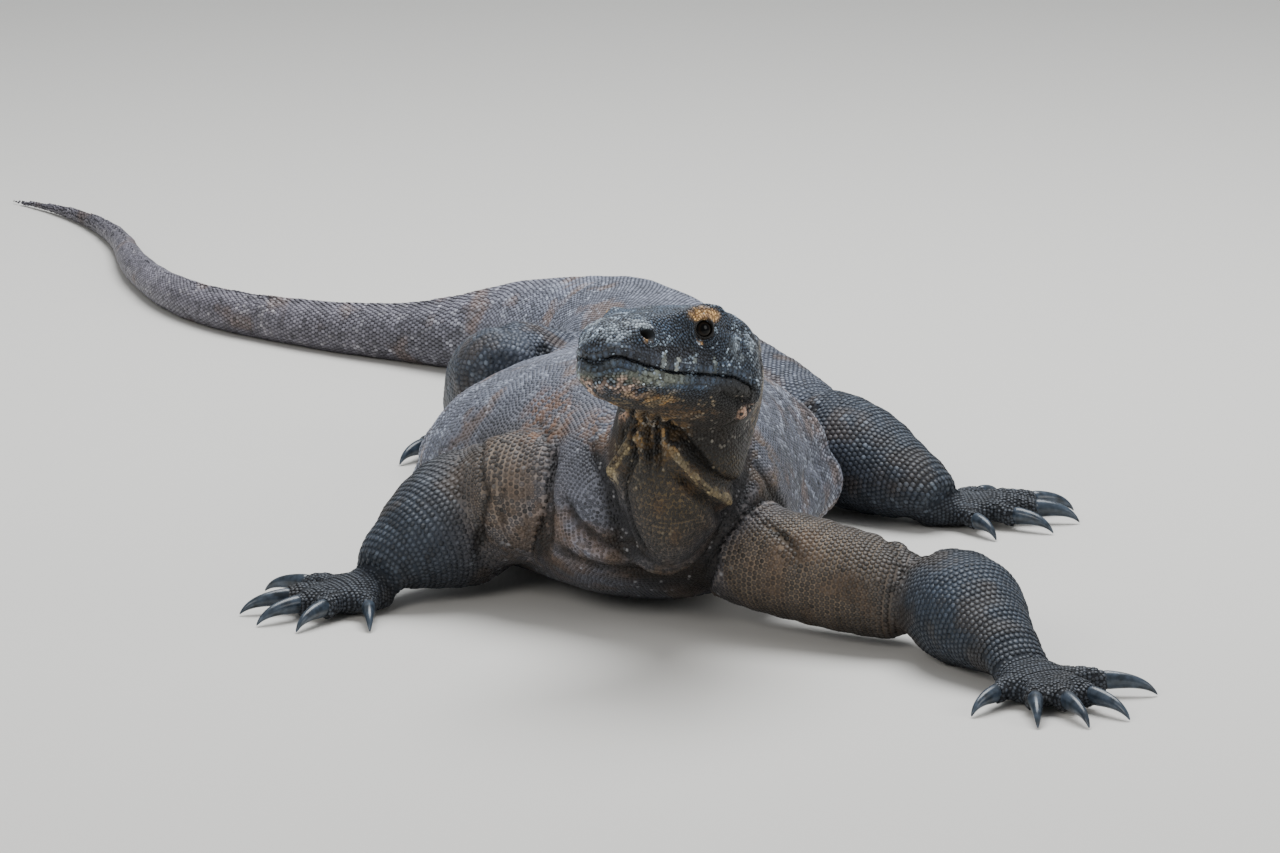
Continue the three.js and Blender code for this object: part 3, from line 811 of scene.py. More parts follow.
@dataclass(frozen=True)
class Fold:
    """A crease (negative depth) or a raised fold along a line of places, in millimetres."""

    depth: float
    width: float
    line: tuple
    wander: float = 1.3

    def rise(self, points: Array, out: Array) -> Array:
        """Height of the fold, in millimetres, at points with the given normals."""
        line = np.array(self.line, float) * MM
        low, high = line.min(0) - 0.03, line.max(0) + 0.03
        inside = np.flatnonzero(((points > low) & (points < high)).all(1))
        height = np.zeros(len(points))
        d, share = near_line(points[inside], line, out[inside])
        d = d + self.wander * MM * noise(points[inside], 0.013, 71)
        ends = np.minimum(1, 5 * np.minimum(share, 1 - share) + 0.25)
        height[inside] = bell(d, self.width * MM) * self.depth * ends
        return height


FOLDS = (
    # pleats under the chin
    Fold(-5.0, 2.6, ((-3, -262, 200), (-2, -215, 176), (-2, -190, 160), (0, -180, 136))),
    Fold(-5.4, 2.6, ((8, -264, 200), (6, -222, 180), (6, -206, 164), (9, -207, 142))),
    Fold(-5.2, 2.6, ((17, -262, 198), (15, -226, 180), (17, -217, 164), (18, -218, 138))),
    Fold(-4.8, 2.6, ((26, -258, 194), (24, -228, 176), (24, -222, 160), (26, -220, 140))),
    Fold(-3.6, 2.4, ((35, -250, 188), (33, -230, 172), (33, -228, 156))),
    # the loose fold on the right of the throat, with the crease behind it
    Fold(6.0, 3.6, ((10, -212, 166), (2, -200, 150), (-5, -182, 134), (-14, -168, 118))),
    Fold(-6.0, 3.6, ((6, -207, 146), (1, -192, 118), (4, -188, 94), (16, -190, 66))),
    # two slanting folds on the left of the throat
    Fold(-6.5, 4.0, (
        (27, -232, 178), (40, -232, 168), (54, -228, 150), (68, -216, 132), (86, -186, 118), (102, -150, 112),
    )),
    Fold(5.0, 3.0, (
        (25, -234, 170), (37, -229, 153), (52, -224, 138), (66, -212, 122), (80, -188, 106), (92, -156, 94),
    )),
    Fold(-6.5, 4.0, ((36, -224, 138), (52, -220, 122), (68, -206, 106), (84, -174, 90))),
    Fold(2.4, 4.0, ((46, -222, 112), (62, -206, 96), (76, -178, 82))),
    # folds across the chest under the bag
    Fold(3.2, 5.0, ((-52, -150, 78), (-26, -166, 64), (4, -174, 56), (32, -174, 50))),
    Fold(-3.4, 3.6, ((-60, -142, 62), (-30, -160, 48), (4, -168, 40), (36, -168, 36))),
    Fold(-3.0, 3.6, ((-46, -146, 104), (-34, -160, 84), (-14, -168, 72), (8, -176, 70))),
    # nape
    Fold(-2.2, 4.0, ((-24, -150, 168), (2, -104, 196), (40, -84, 200), (80, -92, 178), (100, -120, 150))),
    Fold(-2.0, 4.0, ((-20, -168, 196), (8, -128, 226), (44, -108, 232), (82, -122, 208), (100, -150, 176))),
    Fold(2.2, 6.0, ((-26, -138, 150), (0, -84, 178), (36, -66, 184), (76, -74, 164), (98, -102, 138))),
    # shoulders and elbows
    Fold(-3.6, 3.4, ((-110, -2, 108), (-104, -70, 118), (-100, -100, 92), (-108, -92, 60), (-112, -78, 36))),
    Fold(-2.4, 3.2, ((-96, 10, 108), (-88, -66, 122), (-84, -106, 98), (-90, -104, 60))),
    Fold(-2.2, 3.0, ((-74, -80, 126), (-68, -116, 104), (-72, -116, 62))),
    Fold(-3.4, 4.0, ((-62, -64, 134), (-52, -122, 122), (-52, -140, 90), (-58, -126, 48))),
    Fold(-3.4, 4.2, ((96, -130, 128), (108, -136, 106), (122, -118, 84), (140, -104, 62))),
    Fold(-2.6, 3.6, ((88, -158, 112), (104, -174, 92), (124, -190, 76), (136, -200, 56))),
    Fold(-2.2, 3.2, ((192, -158, 66), (196, -186, 78), (204, -216, 74), (208, -232, 52))),
    Fold(-2.2, 3.2, ((208, -150, 56), (214, -184, 74), (226, -212, 76), (228, -236, 56))),
    # knees and groins
    Fold(-3.2, 4.0, ((120, 232, 96), (136, 226, 92), (152, 222, 84), (160, 216, 66))),
    Fold(-3.4, 5.0, ((64, 330, 120), (92, 300, 106), (108, 258, 84), (116, 230, 50))),
    Fold(-3.4, 5.0, ((-54, 330, 118), (-62, 352, 108), (-62, 330, 80), (-70, 300, 50))),
    Fold(-3.0, 4.0, ((-78, 420, 110), (-96, 400, 112), (-104, 372, 108), (-92, 344, 104))),
)


# ------------------------ the body as a whole


@dataclass
class Rows:
    """Columns with one entry for each place or scale."""

    def __getitem__(self, chosen: Array) -> "Rows":
        """Only the chosen rows."""
        return type(self)(*(getattr(self, column.name)[chosen] for column in fields(self)))

    @classmethod
    def join(cls, sets: list["Rows"]) -> "Rows":
        """Sets of rows, one after the other."""
        columns = ([getattr(rows, column.name) for rows in sets] for column in fields(cls))
        return cls(*(c[0].join(c) if isinstance(c[0], Rows) else np.concatenate(c) for c in columns))


@dataclass
class Places(Rows):
    """Where points of the hide lie on the body.

    label is the form that each lies on, s and theta are the distance along it and the angle round it, way
    is the direction along it, and joint is how much farther the next form is. blend has a share for each
    region, which sum to one, and nape is 1 at the nape and -1 at the throat.
    """

    points: Array
    label: Array
    region: Array
    s: Array
    theta: Array
    way: Array
    joint: Array
    blend: Array
    nape: Array

    def on(self, *regions: Region) -> Array:
        """Which places lie on the given regions."""
        return np.isin(self.region, [region.value for region in regions])


@dataclass
class Body:
    """All the forms together.

    border is how softly regions blend, around how near a form a place may lie to be measured by it, and
    farthest the height that a region out of reach is taken to have, all in metres.
    """

    trunk: Trunk = field(default_factory=Trunk)
    tail: Tail = field(default_factory=Tail)
    neck: Neck = field(default_factory=Neck)
    head: Head = field(default_factory=Head)
    limbs: tuple = LIMBS
    border: float = 0.012
    around: float = 0.03
    farthest: float = 0.2

    def __post_init__(self) -> None:
        """Gathers the forms."""
        sources = [self.trunk, self.tail, self.neck, self.head, *self.limbs]
        self.forms = [form for source in sources for form in source.forms()]

    def locate(self, points: Array) -> Places:
        """Finds which form each point lies on, and where on it.

        Args:
            points: Places near the hide.
        Returns:
            Their labels, distances, angles and directions along the body.
        """
        n = len(points)
        best, second = np.full(n, FAR), np.full(n, FAR)
        label = np.zeros(n, int)
        lowest = np.full((n, len(Region)), self.farthest)
        s, theta, nape = np.zeros(n), np.zeros(n), np.ones(n)
        way = np.tile([0.0, 1.0, 0.0], (n, 1))
        for k, form in enumerate(self.forms):
            reach = max(form.half.max(), form.over.max(), form.under.max()) + self.around
            low, high = form.centre.min(0) - reach, form.centre.max(0) + reach
            inside = np.flatnonzero(((points > low) & (points < high)).all(1))
            if not len(inside):
                continue
            height, on, angle, near = form.measure(points[inside])
            kind = form.region.value
            lowest[inside, kind] = np.minimum(lowest[inside, kind], height)
            if form.region is Region.NECK:
                nape[inside] = np.sin(angle)
            closer = height < best[inside]
            second[inside] = np.where(closer, best[inside], np.minimum(second[inside], height))
            hit = inside[closer]
            best[hit], label[hit] = height[closer], k
            s[hit], theta[hit] = on[closer], angle[closer]
            way[hit] = form.way[near[closer]]
        regions = np.array([form.region.value for form in self.forms])[label]
        way[np.isin(regions, (Region.NECK.value, Region.HEAD.value))] *= -1
        blend = np.exp((lowest.min(1, keepdims=True) - lowest) / self.border)
        blend /= blend.sum(1, keepdims=True)
        return Places(points, label, regions, s, theta, way, second - best, blend, nape)

    def lie(self, points: Array, out: Array, places: Places) -> Array:
        """Heights, in millimetres, of the throat's bag and of the relief of the head."""
        return self.bag(points, out, places) + self.head.relief(points) * places.on(Region.HEAD)

    def bag(self, points: Array, out: Array, places: Places) -> Array:
        """Heights, in millimetres, of the bag of the throat, which hangs in front of the chest."""
        _, y, z = points.T
        front = ease(-out[:, 1], -0.1, 0.35) * ease(-y, 0.09, 0.13) * ease(-z, -0.16, -0.12)
        neck = places.on(Region.NECK)
        crease = -4.5 * bell(places.joint, 0.006) * places.on(Region.NECK, Region.TRUNK)
        return front * (crease + 5.5 * neck * ease(places.joint, 0.004, 0.03))


# ------------------------ marks and colours


@dataclass(frozen=True)
class Hue:
    """Colours of one region: between scales, on a scale and on its crest, of pale flecks and of warm
    patches, with the shares of these two.
    """

    deep: int
    scale: int
    crest: int
    fleck: int
    fleck_share: float
    warm: int
    warm_share: float


HUES = {
    Region.HEAD: Hue(0x080C11, 0x19222C, 0x41546B, 0xC4D8EC, 0.20, 0x3C342B, 0.12),
    Region.NECK: Hue(0x0A0805, 0x15110A, 0x57482D, 0x94825D, 0.16, 0x4A3620, 0.28),
    Region.TRUNK: Hue(0x17191E, 0x565965, 0x999EAF, 0xCCD4E6, 0.26, 0x745E4E, 0.32),
    Region.TAIL: Hue(0x2A292F, 0x6A6670, 0x98959F, 0xB8B4B8, 0.14, 0x745F52, 0.28),
    Region.UPPER: Hue(0x131110, 0x3B3531, 0xA5927D, 0xA39C94, 0.05, 0x604E3E, 0.30),
    Region.LOWER: Hue(0x12161B, 0x2A313B, 0x4D5969, 0x76828F, 0.08, 0x443D37, 0.30),
    Region.HAND: Hue(0x16181D, 0x2F343C, 0x4D545F, 0x777F8C, 0.06, 0x3C362F, 0.20),
}


@dataclass(frozen=True)
class Mark:
    """A soft patch of colour, its centre and reach in millimetres.

    grain is the width of the spots that it breaks up into, or 0. A mark on the head is in the head's own
    frame and lies on both sides.
    """

    colour: int
    centre: tuple
    reach: tuple
    strength: float
    grain: float
    on_head: bool = False


HEAD_MARKS = (
    # the dark of throat, cheeks and muzzle, painted shade under the rear of the mouth, under the jowl and on
    # the rear of the lower lip, and the paler front of the lower lip
    (0x231D16, (10, 0, -68), (130, 90, 25), 0.9, 0),
    # painted shade under the rear of the mouth and under the jowl
    (0x14120F, (-24, 48, -50), (36, 32, 11), 0.8, 0),
    (0x14120F, (-46, 44, -84), (44, 44, 30), 0.6, 6.0),
    (0x262427, (46, 30, -23), (62, 34, 11), 0.65, 0),
    (0x626558, (64, 30, -39), (42, 40, 6), 0.75, 0),
    # painted shade on the rear of the lower lip
    (0x1A1815, (-20, 48, -44), (32, 30, 9), 0.75, 0),
    (0x565A50, (86, 10, -34), (14, 34, 7), 0.75, 12.0),
    # ochre over and before the eye, and the ochre, pale rim and painted shade in the pit of the nostril
    (0xC0915A, (3, 38, 9), (18, 9, 7), 0.5, 0),
    (0xD9AE72, (3, 38, 9), (18, 9, 7), 0.9, 2.4),
    (0xA88355, (12, 38, -10), (4, 9, 5), 0.9, 3.0),
    (0x9C7A4E, (66, 26, -10), (5, 9, 5), 0.9, 2.5),
    (0xAEB9C2, (66, 26, -1), (11, 9, 3.0), 0.7, 2.0),
    # painted shade in the pit of the nostril
    (0x0B0908, (64, 26, -8), (4.6, 9, 3.8), 1.0, 0),
    # pale bars of the upper lip, pink and ochre of chin and jaw, worn patches, and a painted bluish sheen on
    # the top of the head
    (0xA9AFA4, (51, 34, -25), (2.8, 20, 7), 0.9, 2.6),
    (0xB4BAB4, (37, 38, -28), (3.6, 20, 6), 1.0, 2.6),
    (0x9BA39C, (22, 42, -20), (1.8, 20, 12), 0.8, 2.6),
    (0x9BA39C, (1, 46, -27), (1.8, 20, 7), 0.7, 2.6),
    (0x8F9AA5, (84, 10, -8), (12, 30, 8), 0.6, 2.6),
    (0xB49A8A, (80, 12, -44), (14, 20, 7), 0.95, 3.5),
    (0xA98C74, (66, 22, -50), (16, 14, 6), 0.8, 3.5),
    (0x94703F, (44, 28, -55), (24, 20, 6), 0.75, 2.6),
    (0x745A3A, (10, 30, -63), (36, 30, 8), 0.6, 2.8),
    (0xB4927C, (-46, 54, -59), (10, 30, 6), 1.0, 2.6),
    (0x8E8A80, (-70, 50, -30), (12, 30, 34), 0.6, 4.0),
    # painted bluish sheen on the top of the head
    (0x43586E, (20, 0, 16), (120, 40, 9), 0.3, 12.0),
    (0xA59B86, (-76, 46, -36), (7, 30, 36), 0.75, 2.4),
    (0xB9C4CC, (76, 20, 4), (22, 22, 8), 0.45, 3.0),
    (0xA8B2B8, (-34, 48, -14), (22, 16, 12), 0.35, 4.0),
)
BODY_MARKS = (
    # painted shade on the flank behind the neck, then nape and throat, then the rusty shoulder and chest
    # painted shade on the flank behind the neck
    (0x2E3037, (142, 30, 112), (56, 150, 80), 0.6, 5.0),
    (0x46464A, (104, -170, 186), (36, 60, 60), 0.5, 0),
    (0x857258, (102, -182, 172), (11, 56, 60), 0.6, 2.6),
    (0x8A6C42, (18, -240, 172), (32, 60, 30), 0.85, 4.0),
    (0xA79A80, (-10, -178, 124), (8, 16, 10), 0.9, 5.0),
    (0x7C5636, (-60, -70, 146), (34, 60, 22), 0.65, 5.0),
    (0x8A6A50, (-14, -110, 140), (24, 40, 22), 0.6, 3.6),
    (0x62503F, (-70, -110, 70), (50, 60, 50), 0.6, 7.0),
    (0x5E4C3A, (0, -160, 60), (60, 40, 26), 0.55, 7.0),
    (0x6B5945, (104, -130, 120), (16, 40, 40), 0.6, 6.0),
)
MARKS = [Mark(*row, True) for row in HEAD_MARKS] + [Mark(*row) for row in BODY_MARKS]


def table(part: str) -> Array:
    """One column of the hues, a row for each region, with colours as linear light."""
    values = [getattr(HUES[r], part) for r in Region]
    return np.array([linear(v) if isinstance(v, int) else v for v in values])


def weights(places: Places) -> Array:
    """How far each region's hue holds: nape, thighs and tail's root are grey like the back."""
    share = places.blend.copy()
    head, neck, trunk, tail, upper, lower, _ = share.T
    nape = neck * ease(places.nape, -0.25, 0.45)
    thigh = upper * ease(places.points[:, 1], 0.05, 0.2)
    root = tail * (1 - ease(places.points[:, 1], 0.58, 0.84))
    neck -= nape
    upper -= thigh
    tail -= root
    trunk += nape * 0.6 + thigh * 0.4 + root
    lower += thigh * 0.6
    head += nape * 0.4
    return share


def colours(body: Body, places: Places, out: Array) -> tuple[Array, Array, Array]:
    """The marks of the animal, with painted shade and light, for hide and scales alike.

    Args:
        body: The animal.
        places: Where the colours are wanted.
        out: Normals there.
    Returns:
        Colours between the scales, on them and on their crests.
    """
    p = places.points
    share = weights(places)
    deep, scale, crest, warm = (share @ table(part) for part in ("deep", "scale", "crest", "warm"))
    spread = ease(noise(p, 0.03, 11) + 0.5 * noise(p, 0.011, 12), 0.15, 0.7)
    spread = spread * (share @ table("warm_share")) * 2.2
    scale = mix(scale, warm, spread)
    crest = mix(crest, warm * 1.5, spread * 0.7)

    own = body.head.mirrored(p)
    head = places.on(Region.HEAD, Region.NECK)
    for i, mark in enumerate(MARKS):
        at = own if mark.on_head else p / MM
        r = np.sqrt((((at - np.array(mark.centre)) / np.array(mark.reach)) ** 2).sum(1))
        part = (1 - ease(r, 0.55, 1.15)) * mark.strength
        if mark.grain:
            part *= ease(noise(p, mark.grain * MM, 20 + i), -0.35, 0.3)
        if mark.on_head:
            part *= head
        tone = linear(mark.colour)
        scale = mix(scale, tone, part)
        crest = mix(crest, tone * 1.35, part)
        deep = mix(deep, tone * 0.28, part)

    # on the throat, chest and upper legs dark scales lie in a paler net of skin
    front = 1 - ease(p[:, 1], -0.02, 0.12)
    nets = {Region.UPPER: 0.75, Region.LOWER: 0.4, Region.NECK: 0.75, Region.TRUNK: 0.1 + front * 0.65}
    net = sum(share[:, r.value] * value for r, value in nets.items())
    deep, crest = mix(deep, crest * 1.15, net), mix(crest, deep * 1.6, net)
    scale = mix(scale, scale * 0.75, net)

    # the margins of the lids are nearly black, and the crests of loose folds pale ochre
    x, y, z = body.head.seen_from_eye(p).T
    margin = (1 - ease(body.head.open(x, y), 2.0, 3.2)) * (z > 0) * head
    creases = sum(fold.rise(p, out) for fold in FOLDS)
    worn = ease(creases + 1.8 * noise(p, 0.006, 61), 2.2, 4.6) * places.on(Region.NECK)
    worn = worn * (0.25 + 0.6 * ease(noise(p, 0.0035, 62), -0.4, 0.4))
    for tone, part in ((linear(0x14100D), margin), (linear(0x86785A), worn)):
        deep, scale, crest = mix(deep, tone * 0.6, part), mix(scale, tone, part), mix(crest, tone * 1.2, part)

    # painted shade and light from the relief: the flanks darken towards the floor, creases darken with their
    # depth and raised folds lighten with their height
    folds = creases + body.lie(p, out, places)
    low = 1 - 0.42 * (1 - ease(p[:, 2], 0.0, 0.09))[:, None]
    low = low * np.clip(1 + np.where(folds < 0, 0.26, 0.11) * folds, 0.25, 1.4)[:, None]
    blotch = 1 + 0.17 * noise(p, 0.05, 5) + 0.15 * noise(p, 0.017, 6) + 0.10 * noise(p, 0.007, 7)
    blotch = blotch[:, None]
    return deep * low * blotch, scale * low * blotch, crest * low * blotch


# ------------------------ finishes


def principled(name: str, values: dict[str, float]) -> tuple[bpy.types.Material, bpy.types.Node]:
    """A new material and its shader, with some of the shader's values set."""
    m = bpy.data.materials.new(name)
    m.use_nodes = True
    shader = m.node_tree.nodes["Principled BSDF"]
    for socket, value in values.items():
        shader.inputs[socket].default_value = value
    return m, shader


def add_node(m: bpy.types.Material, kind: str, values: dict[str, float]) -> bpy.types.Node:
    """A new node of a material, with some of its values set."""
    node = m.node_tree.nodes.new(kind)
    for socket, value in values.items():
        node.inputs[socket].default_value = value
    return node


def tint_of(m: bpy.types.Material) -> bpy.types.NodeSocket:
    """The colour that is stored for each vertex."""
    node = add_node(m, "ShaderNodeAttribute", {})
    node.attribute_name = TINT
    return node.outputs["Color"]


def grain_of(m: bpy.types.Material, scale: float, detail: float) -> bpy.types.NodeSocket:
    """Noise that stays with the piece."""
    where = add_node(m, "ShaderNodeTexCoord", {})
    spots = add_node(m, "ShaderNodeTexNoise", {"Scale": scale, "Detail": detail})
    m.node_tree.links.new(where.outputs["Object"], spots.inputs["Vector"])
    return spots.outputs["Fac"]


@dataclass(frozen=True)
class ScaleFinish:
    """Dry, worn scale or skin that takes its colour from the marks."""

    name: str
    roughness: float
    specular: float
    grain: float
    relief: float
    shades: tuple = (0.72, 1.25)
    relief_depth: float = 0.0006

    def material(self) -> bpy.types.Material:
        """Makes the material."""
        m, shader = principled(self.name, {"Specular IOR Level": self.specular})
        links = m.node_tree.links
        tint, grain = tint_of(m), grain_of(m, self.grain, 3)
        darkest, palest = self.shades
        limits = {"From Min": 0.3, "From Max": 0.7, "To Min": darkest, "To Max": palest}
        spread = add_node(m, "ShaderNodeMapRange", limits)
        links.new(grain, spread.inputs["Value"])
        shade = add_node(m, "ShaderNodeVectorMath", {})
        shade.operation = "SCALE"
        links.new(tint, shade.inputs[0])
        links.new(spread.outputs["Result"], shade.inputs["Scale"])
        links.new(shade.outputs["Vector"], shader.inputs["Base Color"])
        limits = {"To Min": self.roughness - 0.08, "To Max": self.roughness + 0.12}
        rough = add_node(m, "ShaderNodeMapRange", limits)
        links.new(grain, rough.inputs["Value"])
        links.new(rough.outputs["Result"], shader.inputs["Roughness"])
        bump = add_node(m, "ShaderNodeBump", {"Strength": self.relief, "Distance": self.relief_depth})
        links.new(grain, bump.inputs["Height"])
        links.new(bump.outputs["Normal"], shader.inputs["Normal"])
        return m


@dataclass(frozen=True)
class HornFinish:
    """Smooth slate-blue horn, dusty and paler in streaks."""

    name: str = "slate horn"
    dark: int = 0x1D242B
    pale: int = 0x485462
    roughness: float = 0.28
    streaks: float = 160

    def material(self) -> bpy.types.Material:
        """Makes the material."""
        m, shader = principled(self.name, {"Roughness": self.roughness})
        streaks = grain_of(m, self.streaks, 4)
        ramp = add_node(m, "ShaderNodeValToRGB", {})
        for stop, position, colour in zip(ramp.color_ramp.elements, (0.35, 0.75), (self.dark, self.pale)):
            stop.position, stop.color = position, (*linear(colour), 1)
        m.node_tree.links.new(streaks, ramp.inputs["Fac"])
        m.node_tree.links.new(ramp.outputs["Color"], shader.inputs["Base Color"])
        return m


@dataclass(frozen=True)
class EyeFinish:
    """A wet brown eye with a round pupil, coloured by the distance from its axis."""

    name: str = "wet brown eye"
    roughness: float = 0.10
    specular: float = 0.16

    def material(self) -> bpy.types.Material:
        """Makes the material."""
        m, shader = principled(self.name, {"Roughness": self.roughness, "Specular IOR Level": self.specular})
        m.node_tree.links.new(tint_of(m), shader.inputs["Base Color"])
        return m


@dataclass(frozen=True)
class PlainFinish:
    """One even colour."""

    name: str
    colour: int
    roughness: float

    def material(self) -> bpy.types.Material:
        """Makes the material."""
        colour = (*linear(self.colour), 1)
        return principled(self.name, {"Base Color": colour, "Roughness": self.roughness})[0]


def dress(obj: bpy.types.Object, material: bpy.types.Material) -> None:
    """Gives a piece its finish and the body that it moves with."""
    obj.data.materials.clear()
    obj.data.materials.append(material)
    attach(obj, BODY)


# ------------------------ the hide


@dataclass
class Hide:
    """One skin over the whole animal, without seams.

    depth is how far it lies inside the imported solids, and finest the same on the head, hands and feet.
    lowest is how near the floor it may come, in metres. The near_ values are how far from an eye, a nostril
    or the mouth it is divided once more. spine is where the line of the back runs, and keel how high the
    ridge of the tail is along it.
    """

    body: Body
    voxel: float = 3.0
    depth: float = 2.0
    finest: float = 1.2
    sides: int = 48
    lowest: float = 0.0012
    near_eye: float = 19
    near_nostril: float = 12
    near_mouth: float = 4
    rib_pitch: float = 0.030
    limb_pitch: float = 0.021
    knuckle_pitch: float = 0.0085
    spine: tuple = ((-0.1, 0.026), (0.1, 0.0), (0.3, 0.018), (0.6, -0.004))
    keel: tuple = ((0, 1.0), (0.25, 2.4), (1.0, 1.2), (1.15, 0.0))
    most_triangles: int = 190000

    def build(self) -> bpy.types.Object:
        """Joins the forms, smooths where they meet, sculpts the folds and thins the flat places."""
        verts, faces, start = [], [], 0
        for form in self.body.forms:
            fine = form.region in (Region.HEAD, Region.HAND)
            v, f = form.inset((self.finest if fine else self.depth) * MM).mesh(self.sides)
            verts.append(v)
            faces.append(f + start)
            start += len(v)
        skin = mesh_object("hide", np.vstack(verts), np.vstack(faces))
        apply(skin, "REMESH", mode="VOXEL", voxel_size=self.voxel * MM, adaptivity=0)
        self.smooth(skin)
        self.refine(skin)
        self.sculpt(skin)
        self.thin(skin)
        co = corners(skin)
        co[:, 2] = np.maximum(co[:, 2], self.lowest)
        move_corners(skin, co)
        only(skin)
        bpy.ops.object.shade_smooth()
        return skin

    def group(self, skin: bpy.types.Object, name: str, weights: Array) -> str:
        """Stores a weight for each vertex in a vertex group."""
        group = skin.vertex_groups.new(name=name)
        levels = np.clip(np.round(weights * 10), 0, 10).astype(int)
        for level in range(1, 11):
            chosen = np.flatnonzero(levels == level)
            if len(chosen):
                group.add(chosen.tolist(), level / 10, "REPLACE")
        return group.name

    def smooth(self, skin: bpy.types.Object) -> None:
        """Fills the creases where forms meet, and evens the rest lightly."""
        joint = 1 - ease(self.body.locate(corners(skin)).joint, 0.004, 0.016)
        name = self.group(skin, "joints", joint)
        apply(skin, "SMOOTH", factor=0.5, iterations=4)
        apply(skin, "SMOOTH", factor=0.5, iterations=14, vertex_group=name)

    def refine(self, skin: bpy.types.Object) -> None:
        """Divides the faces of the head and throat, and again at the eyes, nostrils and lips."""
        head = self.body.head
        f, s, u = head.own(corners(skin)).T
        throat = (u < -50) & (u > -190) & (f > -62) & (f < 60) & (s > -80)
        self.divide(skin, (f > -88) & (u > -84) | throat)
        fsu = head.mirrored(corners(skin))
        eye = np.linalg.norm(fsu - head.eye, axis=1) < self.near_eye
        nostril = np.linalg.norm(fsu - head.nostril, axis=1) < self.near_nostril
        away, _ = near_line(fsu[:, [0, 2]], np.array(head.mouth, float))
        self.divide(skin, eye | nostril | (away < self.near_mouth) & (fsu[:, 0] > -46))
        near = (head.own(corners(skin))[:, 0] > -84).astype(float)
        name = self.group(skin, "fine", near)
        apply(skin, "SMOOTH", factor=0.5, iterations=3, vertex_group=name)

    def divide(self, skin: bpy.types.Object, chosen: Array) -> None:
        """Subdivides the faces whose corners are all chosen."""
        only(skin)
        mesh = skin.data
        sizes = read(mesh.polygons, "loop_total", 1, np.int32)
        loops = read(mesh.loops, "vertex_index", 1, np.int32)
        owner = np.repeat(np.arange(len(sizes)), sizes)
        inside = np.bincount(owner, weights=chosen[loops]) == sizes
        touched = np.zeros(len(mesh.vertices), bool)
        touched[loops[inside[owner]]] = True
        mesh.vertices.foreach_set("select", touched)
        mesh.edges.foreach_set("select", np.zeros(len(mesh.edges), bool))
        mesh.polygons.foreach_set("select", inside)
        bpy.ops.object.mode_set(mode="EDIT")
        bpy.ops.mesh.select_mode(type="FACE")
        bpy.ops.mesh.subdivide(number_cuts=1)
        bpy.ops.object.mode_set(mode="OBJECT")

    def sculpt(self, skin: bpy.types.Object) -> None:
        """Raises folds, ridges and wrinkles."""
        co, out = corners(skin), normals(skin)
        places = self.body.locate(co)
        rise = sum(fold.rise(co, out) for fold in FOLDS) + self.flow(co, out, places)
        move = out * (rise * MM)[:, None] + self.body.head.sculpt(co, out)
        move_corners(skin, co + move)
        name = self.group(skin, "whole", np.ones(len(co)))
        apply(skin, "SMOOTH", factor=0.35, iterations=1, vertex_group=name)

    def flow(self, co: Array, out: Array, places: Places) -> Array:
        """Heights, in millimetres, of what runs over whole regions: ribs, keel, loose flanks, knuckles."""
        x, y, z = co.T
        trunk, tail, hand = (places.on(region) for region in (Region.TRUNK, Region.TAIL, Region.HAND))
        side, top = ease(np.abs(out[:, 0]), 0.25, 0.8), out[:, 2]
        wander = noise(co, 0.05, 31) * 0.012
        rise = 0.9 * noise(co, 0.022, 33) + 1.3 * noise(co, 0.06, 34)
        ribs = np.sin((y + wander + 0.35 * z) * 2 * math.pi / self.rib_pitch)
        rise += trunk * side * ribs * 0.7 * ease(y, -0.04, 0.06) * (1 - ease(y, 0.30, 0.42))
        rise += self.body.bag(co, out, places)
        sag = 0.052 + 0.010 * noise(co, 0.09, 35)
        rise += trunk * side * (bell(z - sag, 0.014) * 3.0 - bell(z - sag - 0.024, 0.009) * 2.2)
        spine = np.interp(y, *np.array(self.spine).T)
        rise += trunk * ease(top, 0.6, 0.95) * bell(x - spine, 0.008) * 1.4
        keel = bell(np.cos(places.theta), 0.16) * (np.sin(places.theta) > 0)
        rise += tail * keel * np.interp(places.s, *np.array(self.keel).T)
        rise += tail * bell(np.sin(places.theta) + 0.05, 0.25) * -0.8 * (places.s < 0.3)
        rings = np.sin(places.s * 2 * math.pi / self.knuckle_pitch)
        rise += hand * ease(top, 0.0, 0.5) * rings * 0.55
        limb = places.on(Region.LOWER, Region.UPPER)
        rise += limb * np.sin((places.s + 0.4 * wander) * 2 * math.pi / self.limb_pitch) * 0.35
        quiet = np.where(places.on(Region.HEAD), 0.0, np.where(places.on(Region.NECK), 0.6, 1.0))
        quiet = np.where(hand | tail & (places.s > 0.6), quiet * 0.7, quiet)
        return rise * quiet

    def thin(self, skin: bpy.types.Object) -> None:
        """Collapses faces of the body, and keeps those of the head and throat."""
        mesh = skin.data
        triangles = sum(len(p.vertices) - 2 for p in mesh.polygons)
        if triangles <= self.most_triangles:
            return
        f, _, u = self.body.head.own(corners(skin)).T
        keep = (f > -92) & (u > -90) | (u > -190) & (f > -40)
        hands = self.body.locate(corners(skin)).on(Region.HAND)
        name = self.group(skin, "body", np.where(keep, 0.0, np.where(hands, 0.5, 1.0)))
        ratio = self.most_triangles / triangles
        apply(skin, "DECIMATE", ratio=ratio, vertex_group=name, vertex_group_factor=1.0)

    def dress(self, skin: bpy.types.Object) -> None:
        """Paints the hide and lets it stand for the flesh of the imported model."""
        co = corners(skin)
        deep, scale, _ = colours(self.body, self.body.locate(co), normals(skin))
        paint(skin, mix(deep, scale, np.full(len(deep), 0.25)))
        dress(skin, ScaleFinish("skin between scales", 0.72, 0.3, 420, 0.5).material())
        flesh = [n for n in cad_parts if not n.startswith(("claw", "eye"))]
        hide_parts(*flesh)


# ------------------------ scales


